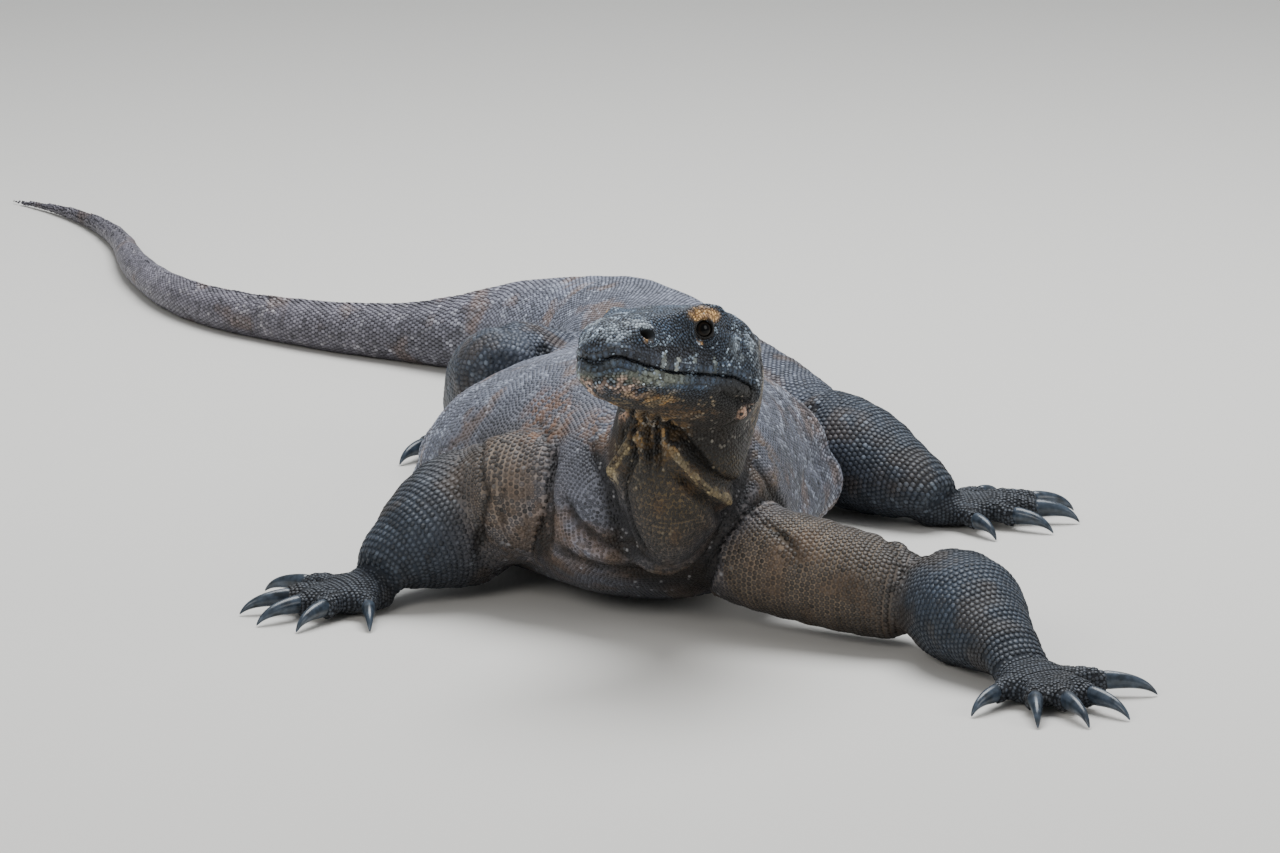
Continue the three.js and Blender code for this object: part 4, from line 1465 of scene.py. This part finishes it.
@dataclass(frozen=True)
class ScaleShape:
    """Proportions of one region's scales, as shares of their pitch.

    length and width are half sizes, height the rise of the crest, square how rectangular the scale
    is (2 is an ellipse), back how far its crest lies to the rear, lift how much its rear edge rises,
    stagger how far every second row is shifted, and flat the share of its footprint inside its slopes.
    """

    length: float
    width: float
    height: float
    square: float
    back: float
    lift: float
    sides: int = 6
    stagger: float = 0.5
    flat: float = 0.80


SHAPES = {
    Region.HEAD: ScaleShape(0.56, 0.54, 0.12, 2.6, 0.04, 0.02),
    Region.NECK: ScaleShape(0.64, 0.54, 0.11, 3.0, 0.06, 0.04, stagger=0.0),
    Region.TRUNK: ScaleShape(0.56, 0.51, 0.12, 2.4, 0.12, 0.05),
    Region.TAIL: ScaleShape(0.60, 0.51, 0.12, 3.0, 0.20, 0.08),
    Region.UPPER: ScaleShape(0.56, 0.52, 0.12, 2.6, 0.08, 0.04),
    Region.LOWER: ScaleShape(0.57, 0.53, 0.10, 2.6, 0.12, 0.06),
    Region.HAND: ScaleShape(0.55, 0.53, 0.12, 2.5, 0.10, 0.05),
}
LIP_SHAPE = ScaleShape(0.57, 0.57, 0.015, 6.0, 0.0, 0.0, sides=8, flat=0.90)
JAW_FLECK = 0x94805E
PITCHES = {  # millimetres
    Region.HEAD: 2.6,
    Region.NECK: 2.7,
    Region.TRUNK: 3.6,
    Region.TAIL: 4.6,
    Region.UPPER: 4.2,
    Region.LOWER: 4.5,
    Region.HAND: 3.2,
}


@dataclass
class Scales(Rows):
    """Places, normals, directions, pitches and sizes of scales, and which of them line the lips."""

    at: Array
    out: Array
    way: Array
    pitch: Array
    stretch: Array
    places: Places
    lip: Array


@dataclass
class Coat:
    """The scales, laid in rows round each form and fitted to the hide.

    sunk is how deep their feet are in it, patch the reach of one scale on the unwrap, margin the space
    between charts, darts how many scales are thrown where rows leave gaps, apart and thrown_apart how near
    two scales may be as a share of their pitch, cell the grid for finding near ones in metres, turns the
    number of angles at which a row is measured, and rounds how often the thrown ones are evened out.
    """

    body: Body
    skin: bpy.types.Object
    sunk: float = 0.35
    lowest: float = 0.0001
    patch: float = 0.003
    margin: float = 0.004
    most_triangles: int = 190000
    darts: int = 420000
    apart: float = 0.72
    thrown_apart: float = 0.74
    cell: float = 0.005
    turns: int = 181
    rounds: int = 5
    eye_rings: tuple = (7.2, 38.0)
    nostril_rings: tuple = (5.2, 9.5)
    tail_pitch: tuple = ((0, 0.78), (0.22, 0.95), (0.8, 0.75), (1.15, 0.5))

    def __post_init__(self) -> None:
        """Reads the hide's faces and lays out the charts of its unwrap."""
        self.rng = np.random.default_rng(SEED)
        self.tree = BVHTree.FromObject(self.skin, bpy.context.evaluated_depsgraph_get())
        self.verts, self.bends = corners(self.skin), normals(self.skin)
        mesh = self.skin.data
        mesh.calc_loop_triangles()
        self.tri = read(mesh.loop_triangles, "vertices", 3, np.int32)
        owner = read(mesh.loop_triangles, "polygon_index", 1, np.int32)
        self.first_of = np.zeros(len(mesh.polygons), np.int64)
        self.first_of[owner[::-1]] = np.arange(len(owner))[::-1]
        self.charts = self.lay_out()

    def lay_out(self) -> Array:
        """Charts of the unwrap: corner and size of the rectangle that each form unrolls to."""
        forms = self.body.forms
        girths = [(f.half.mean() * 2 + f.over.mean() + f.under.mean()) * 1.6 for f in forms]
        size = np.stack([[f.arc[-1] for f in forms], girths], 1)
        order = np.argsort(-size[:, 1])
        gap, scale = self.margin, 1.0
        while True:
            spots, x, y, tall = np.zeros((len(forms), 2)), gap, gap, 0.0
            for i in order:
                w, h = size[i] * scale
                if x + w > 1 - gap:
                    x, y, tall = gap, y + tall + gap, 0.0
                spots[i] = x, y
                x, tall = x + w + gap, max(tall, h)
            if y + tall < 1 - gap and size[:, 0].max() * scale < 1 - 2 * gap:
                return np.hstack([spots, size * scale])
            scale *= 0.97

    def pitch(self, points: Array, region: Array, theta: Array, s: Array) -> Array:
        """Distance between scales, in metres, at places of the body.

        Args:
            points: The places.
            region: The number of the region of each.
            theta: The angle of each round its form.
            s: The distance of each along its form.
        """
        base = np.array([PITCHES[r] for r in Region])[region]
        _, y, z = points.T
        head, neck, trunk, tail, _, _, hand = (region == r.value for r in Region)
        eye = np.linalg.norm(self.body.head.mirrored(points) - self.body.head.eye, axis=1)
        base = np.where(head, base - 0.5 * (1 - ease(eye, 14, 28)), base)
        base = np.where(neck, base + 1.5 * ease(np.sin(theta), -0.1, 0.7), base)
        base = np.where(trunk, base - 0.5 * (1 - ease(y, -0.15, -0.03)), base)
        base = np.where(trunk & (z < 0.014), np.maximum(base, 7.2), base)
        base = np.where(tail, base * np.interp(s, *np.array(self.tail_pitch).T), base)
        base = np.where(hand & (z < 0.006), base * 1.15, base)
        return base * MM

    def pitch_at(self, places: Places) -> Array:
        """Distance between scales at places that are located already."""
        return self.pitch(places.points, places.region, places.theta, places.s)

    def snap(self, points: Array, reach: float) -> tuple[Array, Array, Array]:
        """Nearest places on the hide, its normals there, and which points found one."""
        at, face = np.zeros_like(points), np.full(len(points), -1)
        for i, p in enumerate(points.tolist()):
            place, _, index, _ = self.tree.find_nearest(p, reach)
            if place is not None:
                at[i], face[i] = place, index
        found = face >= 0
        out = unit(self.bends[self.tri[self.first_of[np.maximum(face, 0)]]].sum(1))
        return at, out, found

    def gather(self, places: Places, out: Array, pitch: Array) -> Scales:
        """Scales at places of the hide, lying along the body."""
        way = flatten(places.way, out)
        lone = np.linalg.norm(way, axis=1) < 0.2
        way[lone] = np.cross(out[lone], [1.0, 0.0, 0.0])
        n = len(out)
        return Scales(places.points, out, unit(way), pitch, np.ones((n, 2)), places, np.zeros(n, bool))

    def rows_of(self, k: int, form: Form) -> Scales:
        """Rows of scales round one form, kept where they meet the hide."""
        stagger = SHAPES[form.region].stagger
        turn = np.linspace(-math.pi, math.pi, self.turns)
        region = np.full(self.turns, form.region.value)
        spots, s, count = [], 0.001, 0
        while s < form.arc[-1]:
            along = np.full(self.turns, s)
            ring = form.at(along, turn)
            pitch = self.pitch(ring, region, turn, along)
            run = np.concatenate([[0], np.cumsum(np.linalg.norm(np.diff(ring, axis=0), axis=1) / pitch[1:])])
            if abs(count - run[-1]) > 0.035 * run[-1] + 0.6:
                count = max(5, round(run[-1]))
            wanted = (np.arange(count) + stagger * (len(spots) % 2) + 0.25) / count * run[-1]
            angle = np.interp(wanted, run, turn)
            spots.append(np.stack([np.full(count, s), angle], 1))
            s += float(pitch.mean()) * (0.9 if stagger else 1.0)
        spots = np.vstack(spots)
        points = form.at(spots[:, 0], spots[:, 1])
        at, out, found = self.snap(points, 0.007)
        outward = unit(points - form.centre[np.argmin(np.abs(spots[:, :1] - form.arc), axis=1)])
        found &= np.einsum("ij,ij->i", out, outward) > 0.25
        places, out = self.body.locate(at[found]), out[found]
        same = places.on(Region.HAND) if form.region is Region.HAND else places.label == k
        return self.gather(places[same], out[same], self.pitch_at(places[same]))

    def head_rows(self) -> list[Scales]:
        """Rows along the lips and rings round the eyes and nostrils."""
        head = self.body.head
        rows = []
        for rise, pitch, tall in head.lip_rows:
            length, back_to = (292, -38) if rise > 0 else (284, -34)
            line = head.lip_line(rise, round(length / pitch), back_to)
            at, out, found = self.snap(head.place(line), 0.012)
            along = unit(np.gradient(at, axis=0))[found]
            even = np.full(found.sum(), pitch * MM)
            scales = self.gather(self.body.locate(at[found]), out[found], even)
            scales.way = unit(flatten(along, scales.out))
            scales.stretch[:, 1] = tall
            scales.lip[:] = True
            rows.append(scales)
        for sign in (1, -1):
            rows += self.rings(head.eye, sign, *self.eye_rings, True)
            rows += self.rings(head.nostril, sign, *self.nostril_rings, False)
        return rows

    def rings(self, centre: tuple, sign: int, first: float, last: float, eye: bool) -> list[Scales]:
        """Rings of small scales round an eye, running on as arcs below it, or round a nostril.

        Args:
            centre: Middle of the rings on the left, in the head's frame.
            sign: 1 for the left side and -1 for the right.
            first: Radius of the first ring, in millimetres.
            last: Radius that the rings stay under.
            eye: Whether it is an eye.
        """
        head = self.body.head
        mirror = np.array([1, sign, 1])
        rows, radius = [], first
        while radius < last:
            pitch = float(np.interp(radius, [first, 14, 30], [1.5 if eye else 1.8, 2.0, 2.3]))
            long = 1.3 if eye and radius > 12 else 1.0
            count = max(6, round(2 * math.pi * radius / pitch / long))
            angle = (np.arange(count) + 0.5 * (len(rows) % 2)) / count * 2 * math.pi
            x, y = radius * 1.08 * np.cos(angle), radius * 0.97 * np.sin(angle)
            if eye:
                kept = (y < 6) & (x < 17) & (y > -31) | (radius < 13)
                points = head.from_eye(np.stack([x, y, np.full(count, 11.0)], 1)[kept], sign)
            else:
                fsu = np.stack([centre[0] + x, np.full(count, centre[1] + 4.0), centre[2] + y], 1)
                points = head.place(fsu * mirror)
            if len(points):
                at, out, found = self.snap(points, 0.020)
                even = np.full(found.sum(), pitch * MM)
                scales = self.gather(self.body.locate(at[found]), out[found], even)
                across = unit(scales.at - head.place(np.array(centre) * mirror))
                scales.way = unit(np.cross(scales.out, across))
                scales.stretch[:] = long, 0.94
                rows.append(scales)
            radius += pitch * 0.92
        return rows

    def fit(self, parts: list[Scales], apart: float) -> Scales:
        """Joins sets of scales, leaving out those too near an earlier one."""
        joined = Scales.join(parts)
        keys = np.floor(joined.at / self.cell).astype(int).tolist()
        gaps = (joined.pitch * apart).tolist()
        steps = [tuple(product(range(-reach, reach + 1), repeat=3)) for reach in (1, 2)]
        grid: dict = {}
        kept = []
        for i, ((a, b, c), (x, y, z), gap) in enumerate(zip(keys, joined.at.tolist(), gaps)):
            crowded = any(
                (p - x) ** 2 + (q - y) ** 2 + (r - z) ** 2 < min(gap, other) ** 2
                for d, e, f in steps[gap > self.cell]
                for p, q, r, other in grid.get((a + d, b + e, c + f), ())
            )
            if not crowded:
                grid.setdefault((a, b, c), []).append((x, y, z, gap))
                kept.append(i)
        return joined[np.array(kept)]

    def thrown(self, count: int) -> Scales:
        """Scales thrown at random on the hide, thicker where scales are small."""
        tri = self.verts[self.tri]
        area = np.linalg.norm(np.cross(tri[:, 1] - tri[:, 0], tri[:, 2] - tri[:, 0]), axis=1)
        middle = self.body.locate(tri.mean(1))
        weight = area / self.pitch_at(middle) ** 2 * np.where(middle.on(Region.HEAD), 2.5, 1.0)
        chosen = self.rng.choice(len(tri), count, p=weight / weight.sum())
        u, v = self.rng.random((2, count, 1))
        fold = (u + v) > 1
        u, v = np.where(fold, 1 - u, u), np.where(fold, 1 - v, v)
        t = tri[chosen]
        at = t[:, 0] + u * (t[:, 1] - t[:, 0]) + v * (t[:, 2] - t[:, 0])
        bend = self.bends[self.tri[chosen]]
        out = unit(bend[:, 0] * (1 - u - v) + bend[:, 1] * u + bend[:, 2] * v)
        places = self.body.locate(at)
        return self.gather(places, out, self.pitch_at(places))

    def relax(self, scales: Scales, loose: Array, rounds: int) -> Scales:
        """Pushes the loose scales of the head away from their neighbours until they sit evenly."""
        at = scales.at.copy()
        for _ in range(rounds):
            tree = nearest_tree(at)
            push = np.zeros_like(at)
            for i in loose:
                reach = scales.pitch[i] * 1.25
                for place, j, d in tree.find_range(at[i], reach):
                    if j != i:
                        push[i] += (at[i] - np.array(place)) * ((reach - d) / max(d, 1e-5) * 0.22)
            moved = at[loose] + push[loose]
            spot, out, found = self.snap(moved, 0.01)
            at[loose[found]] = spot[found]
            scales.out[loose[found]] = out[found]
        fresh = self.gather(self.body.locate(at), scales.out, scales.pitch)
        fixed = np.ones(len(at), bool)
        fixed[loose] = False
        fresh.way[fixed] = scales.way[fixed]
        fresh.stretch, fresh.lip = scales.stretch, scales.lip
        return fresh

    def shape(self, scales: Scales, shape: ScaleShape) -> tuple[Array, Array, Array, Array]:
        """Vertices, triangles, colours and unwrap places of scales that share one shape."""
        n, k, rng = len(scales.at), shape.sides, self.rng
        phi = (np.arange(k) + (0.5 if k == 6 else 0.0)) / k * 2 * math.pi
        q = shape.square
        edge = (np.abs(np.cos(phi)) ** q + np.abs(np.sin(phi)) ** q) ** (-1 / q)
        rough = 1 + rng.uniform(-0.07, 0.07, (n, k))
        x, y = edge * np.cos(phi) * rough, edge * np.sin(phi) * rough
        size = scales.pitch * rng.uniform(0.95, 1.05, n)
        length = size * shape.length * scales.stretch[:, 0]
        width = size * shape.width * scales.stretch[:, 1]
        tall = size * shape.height * rng.uniform(0.8, 1.2, n)
        spin = rng.uniform(-0.10, 0.10, n)
        ahead = unit(scales.way + np.cross(scales.out, scales.way) * spin[:, None])
        across = np.cross(scales.out, ahead)

        def ring(grow: float, high: Array, shift: float) -> Array:
            """One ring of corners, from its share of the footprint, its height and its shift to the rear."""
            px = (x * grow + shift) * length[:, None]
            py = y * grow * width[:, None]
            pz = high[:, None] + shape.lift * size[:, None] * (x * grow + shift)
            return (
                scales.at[:, None]
                + px[..., None] * ahead[:, None]
                + py[..., None] * across[:, None]
                + pz[..., None] * scales.out[:, None]
            )

        base = ring(1.0, np.full(n, -self.sunk * MM), 0.0)
        upper = ring(shape.flat, tall * shape.flat, shape.back * 0.5)
        top = ring(0.0, tall, shape.back)[:, :1]
        verts = np.concatenate([base, upper, top], 1)
        i = np.arange(k)
        j = (i + 1) % k
        sides = [np.stack([i, j, j + k], 1), np.stack([i, j + k, i + k], 1)]
        caps = [np.stack([i + k, j + k, i * 0 + 2 * k], 1), np.stack([i[2:] * 0, i[2:], i[2:] - 1], 1)]
        faces = np.arange(n)[:, None, None] * (2 * k + 1) + np.vstack([*sides, *caps])
        tones = self.tones(scales, k)
        local = np.zeros((*verts.shape[:2], 2))
        local[:, :k] = np.stack([x, y], -1)
        local[:, k:-1] = np.stack([x, y], -1) * shape.flat
        uv = self.unrolled(scales.places)[:, None] + np.clip(local, -1, 1) * self.patch / 2
        return verts.reshape(-1, 3), faces.reshape(-1, 3), tones.reshape(-1, 3), uv.reshape(-1, 2)

    def tones(self, scales: Scales, sides: int) -> Array:
        """Colours of each scale's corners: its foot, the edge of its crest, and the crest."""
        rng, n, at = self.rng, len(scales.at), scales.at
        deep, scale, crest = colours(self.body, scales.places, scales.out)
        blend = weights(scales.places)
        on_head, on_neck = blend[:, Region.HEAD.value], blend[:, Region.NECK.value]
        uneven = 0.24 + 0.14 * on_head + 0.1 * scales.lip
        level = np.clip(1 + rng.normal(0, 1, n) * uneven, 0.4, 1.8)[:, None]

        # pale flecks in clusters: ochre on the jaw, fewer on the throat, and none on the chest and arms
        fleck, share = blend @ table("fleck"), blend @ table("fleck_share")
        jaw = (1 - ease(self.body.head.own(at)[:, 2], -50, -40)) * on_head
        fleck = mix(fleck, linear(JAW_FLECK), jaw)
        share = share + 0.06 * jaw - 0.14 * on_neck * (1 - ease(at[:, 2], 0.11, 0.17))
        share = share * (1 - (1 - on_head - on_neck) * (1 - ease(at[:, 1], -0.12, -0.02)))
        share = share * (0.15 + 3.6 * ease(noise(at, 0.009, 51) + 0.4 * noise(at, 0.03, 52), 0.15, 0.7))
        chosen = (rng.random(n) < share) & ~scales.lip
        pale = chosen * rng.uniform(0.25, 0.75, n) * (0.65 + 0.35 * on_head)
        scale, crest = mix(scale, fleck, pale * 0.5), mix(crest, fleck, pale)

        # a scale in a pale net is dark down to its foot
        netted = (deep.sum(1) > scale.sum(1))[:, None]
        foot = np.where(netted, deep * 0.3 + scale * 0.6, deep * 0.8 + scale * 0.15)
        rings = [np.repeat(tone[:, None], sides, 1) for tone in (foot, scale * level)]
        return np.concatenate([*rings, (crest * level)[:, None]], 1)

    def unrolled(self, places: Places) -> Array:
        """Where places lie on the unwrap."""
        chart = self.charts[places.label]
        arc = np.array([f.arc[-1] for f in self.body.forms])[places.label]
        u = chart[:, 0] + np.clip(places.s / arc, 0, 1) * chart[:, 2]
        v = chart[:, 1] + (places.theta / (2 * math.pi) + 0.5) * chart[:, 3]
        return np.stack([u, v], 1)

    def build(self) -> list[bpy.types.Object]:
        """Lays all scales and joins them into pieces by region."""
        forms = enumerate(self.body.forms)
        rows = [self.rows_of(k, form) for k, form in forms if form.region is not Region.HEAD]
        rows = [*self.head_rows(), *rows]
        laid = self.fit(rows, self.apart)
        LOG.info("scales in rows: %d of %d", len(laid.at), sum(len(s.at) for s in rows))
        darts = self.thrown(self.darts)
        tree = nearest_tree(laid.at)
        near = np.array([tree.find(p)[2] for p in darts.at.tolist()])
        both = self.fit([laid, darts[near > darts.pitch * self.apart]], self.thrown_apart)
        loose = np.flatnonzero(both.places.on(Region.HEAD) & (np.arange(len(both.at)) >= len(laid.at)))
        both = self.relax(both, loose, self.rounds)
        both = both[~self.over_eye(both.at)]
        LOG.info("scales: %d", len(both.at))
        return self.pieces(both)

    def over_eye(self, points: Array) -> Array:
        """Which places lie in the opening of an eye or in a nostril."""
        head = self.body.head
        x, y, z = head.seen_from_eye(points).T
        opening = (head.open(x, y) < 0.5) & (z > 0)
        f, s, u = (head.mirrored(points) - head.nostril).T
        return opening | (np.hypot(f / 1.35, u) < 3.6) & (s > -16)

    def pieces(self, scales: Scales) -> list[bpy.types.Object]:
        """Joined meshes, one or more for each region, each under the limit of triangles."""
        material = ScaleFinish("worn scales", 0.5, 0.45, 900, 0.35).material()
        out = []
        for region in Region:
            shape = SHAPES[region]
            chosen = np.flatnonzero(scales.places.on(region))
            chosen = chosen[np.argsort(scales.at[chosen, 1], kind="stable")]
            triangles = shape.sides * 4 + 2
            parts = max(1, math.ceil(len(chosen) * triangles / self.most_triangles))
            for i, some in enumerate(np.array_split(chosen, parts)):
                name = f"scales_{region.name.lower()}" + (f"_{i + 1}" if parts > 1 else "")
                obj = self.piece(name, scales[some], shape)
                dress(obj, material)
                LOG.info("%s: %d scales, %d faces", name, len(some), len(obj.data.polygons))
                out.append(obj)
        return out

    def piece(self, name: str, scales: Scales, shape: ScaleShape) -> bpy.types.Object:
        """One mesh of scales, those of the lips in their own shape, with its colours and its unwrap."""
        meshes = [self.shape(scales[~scales.lip], shape)]
        if scales.lip.any():
            meshes.append(self.shape(scales[scales.lip], LIP_SHAPE))
        verts, tones, uv = (np.vstack([m[j] for m in meshes]) for j in (0, 2, 3))
        faces = np.vstack([m[1] + start for m, start in zip(meshes, (0, len(meshes[0][0])))])
        verts[:, 2] = np.maximum(verts[:, 2], self.lowest)
        obj = mesh_object(name, verts, faces)
        paint(obj, tones)
        layer = obj.data.uv_layers.new(name=BAKE_MAP)
        layer.data.foreach_set("uv", np.ascontiguousarray(uv[faces.ravel()], np.float32).ravel())
        return obj


# ------------------------ eyes and claws


@dataclass
class Eyes:
    """Two wet eyes under the lids. pupil and iris are the degrees from the axis to their edges."""

    head: Head
    pupil: float = 19.0
    iris: float = 36.0
    cornea: float = 0.5

    def build(self) -> list[bpy.types.Object]:
        """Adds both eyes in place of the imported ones."""
        material = EyeFinish().material()
        made = []
        for name, sign in (("left", 1), ("right", -1)):
            bpy.ops.object.select_all(action="DESELECT")
            bpy.ops.mesh.primitive_uv_sphere_add(segments=48, ring_count=32, radius=1)
            eye = bpy.context.object
            eye.name = f"eyeball_{name}"
            bpy.ops.object.shade_smooth()
            ball = corners(eye)
            gaze = self.head.axes[1] * sign * self.head.gaze[1] + self.head.axes[0] * self.head.gaze[0]
            side = unit(np.cross(UP, gaze))
            basis = np.stack([side, np.cross(gaze, side), gaze])
            angle = np.degrees(np.arccos(np.clip(ball[:, 2], -1, 1)))
            f, s, u = self.head.eye
            radius = self.head.eye_radius + self.cornea * bell(angle, self.iris * 0.8)
            move_corners(eye, self.head.place((f, s * sign, u)) + (ball * radius[:, None] * MM) @ basis)
            dark, ring, brown = (linear(code) for code in (0x010101, 0x1C1207, 0x090604))
            tone = mix(np.tile(brown, (len(ball), 1)), ring, bell(angle - self.pupil - 3, 3.0) * 0.8)
            tone = mix(tone, dark, 1 - ease(angle, self.pupil - 1, self.pupil + 1))
            tone = mix(tone, dark, ease(angle, self.iris - 6, self.iris + 4) * 0.8)
            paint(eye, tone)
            dress(eye, material)
            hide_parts(f"eye_{name}")
            made.append(eye)
        return made


@dataclass
class Claws:
    """Curved horn claws, one for each digit.

    tip is the radius of the point and lift its height over the floor, root and rise are shares of the
    digit's radius, tall is how much higher than wide the claw is, bend how far it turns, and buried the
    share of its length inside the digit.
    """

    limbs: tuple = LIMBS
    sides: int = 14
    rings: int = 11
    tip: float = 0.55
    lift: float = 0.6
    root: float = 0.60
    rise: float = 1.2
    bend: float = 1.2
    tall: float = 1.22
    buried: float = 0.14

    def pattern(self) -> bpy.types.Object:
        """A straight, even rod of rings, drawn out of a disc, that each claw is shaped from."""
        bpy.ops.object.select_all(action="DESELECT")
        bpy.ops.mesh.primitive_circle_add(vertices=self.sides, radius=1, fill_type="NGON")
        rod = bpy.context.object
        bpy.ops.object.mode_set(mode="EDIT")
        bpy.ops.mesh.select_all(action="SELECT")
        for _ in range(self.rings - 1):
            bpy.ops.mesh.extrude_region_move(TRANSFORM_OT_translate={"value": (0, 0, 1)})
        bpy.ops.mesh.select_all(action="SELECT")
        bpy.ops.mesh.normals_make_consistent(inside=False)
        bpy.ops.object.mode_set(mode="OBJECT")
        return rod

    def build(self) -> list[bpy.types.Object]:
        """Shapes a claw for each digit."""
        rod = self.pattern()
        straight = corners(rod)
        material = HornFinish().material()
        made = []
        for limb in self.limbs:
            for i, (knuckle, way, reach, radius, claw) in enumerate(limb.places()):
                t = straight[:, 2] / (self.rings - 1) * (1 + self.buried) - self.buried
                on = np.maximum(t, 0)
                thick = self.tip * MM + (radius * self.root - self.tip * MM) * (1 - on) ** 0.8
                low = (self.lift + self.tip * 1.25) * MM
                high = low + (radius * self.rise - low) * (1 - on**2.4)
                run = reach + claw * np.sin(t * self.bend) * 0.9
                side = np.array([-way[1], way[0], 0.0])
                narrow = 1 - 0.25 * (straight[:, 1] < 0) * np.abs(straight[:, 1])
                verts = np.array([*knuckle[:2], 0.0]) + run[:, None] * way
                verts += (straight[:, 0] * thick * narrow)[:, None] * side
                verts[:, 2] = high + straight[:, 1] * thick * self.tall
                obj = bpy.data.objects.new(f"horn_{limb.end_name}_{i + 1}", rod.data.copy())
                bpy.context.scene.collection.objects.link(obj)
                move_corners(obj, verts)
                apply(obj, "SUBSURF", levels=1, render_levels=1)
                bpy.ops.object.shade_smooth()
                dress(obj, material)
                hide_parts(f"claw_{limb.end_name}_{i + 1}")
                made.append(obj)
        bpy.data.objects.remove(rod)
        return made


# ------------------------ the studio


@dataclass
class Studio:
    """A pale floor, soft lights and the camera.

    lights are a name, a place, what it points at, a size, a power and a colour.
    """

    floor_size: float = 14.0
    lens: float = 189.84
    sensor: float = 36.0
    camera_at: tuple = (0.01194, -5.03881, 1.28463)
    camera_tilt: float = 77.0
    camera_far: float = 50.0
    sky: tuple = (0.86, 0.9, 0.95)
    sky_strength: float = 0.42
    lights: tuple = (
        ("overhead", (0.2, 0.9, 2.6), (0.0, 0.1, 0.1), 2.2, 120.0, (0.94, 0.97, 1.0)),
        ("front", (-1.6, -2.8, 2.0), (0.0, 0.0, 0.1), 1.6, 42.0, (1.0, 0.98, 0.95)),
        ("right", (2.6, -1.4, 1.4), (0.0, 0.0, 0.1), 1.6, 22.0, (1.0, 0.99, 0.97)),
    )

    def build(self) -> None:
        """Adds floor, lights, background and camera."""
        bpy.ops.object.select_all(action="DESELECT")
        bpy.ops.mesh.primitive_plane_add(size=self.floor_size, location=(0, 0, 0))
        floor = bpy.context.object
        floor.name = "studio_floor"
        floor.data.materials.append(PlainFinish("studio floor", 0xD9D6D0, 0.8).material())
        for name, at, target, size, power, colour in self.lights:
            lamp = bpy.data.lights.new(name, "AREA")
            lamp.shape = "DISK"
            lamp.size, lamp.energy, lamp.color = size, power, colour
            obj = bpy.data.objects.new(name, lamp)
            obj.location = at
            obj.rotation_euler = (Vector(target) - Vector(at)).to_track_quat("-Z", "Y").to_euler()
            bpy.context.scene.collection.objects.link(obj)
        world = bpy.data.worlds.new("studio")
        world.use_nodes = True
        background = world.node_tree.nodes["Background"]
        background.inputs["Color"].default_value = (*self.sky, 1)
        background.inputs["Strength"].default_value = self.sky_strength
        bpy.context.scene.world = world
        camera = bpy.data.cameras.new("camera")
        camera.lens, camera.sensor_width = self.lens, self.sensor
        camera.clip_end = self.camera_far
        obj = bpy.data.objects.new("camera", camera)
        obj.location = self.camera_at
        obj.rotation_euler = (math.radians(self.camera_tilt), 0, 0)
        bpy.context.scene.collection.objects.link(obj)
        bpy.context.scene.camera = obj


def main() -> None:
    """Builds the animal and the studio in order."""
    logging.basicConfig(level=logging.INFO, format="%(message)s")
    body = Body()
    hide = Hide(body)
    skin = hide.build()
    hide.dress(skin)
    LOG.info("hide: %d faces", len(skin.data.polygons))
    Coat(body, skin).build()
    Eyes(body.head).build()
    LOG.info("claws: %d", len(Claws().build()))
    Studio().build()


if __name__ == "__main__":
    main()
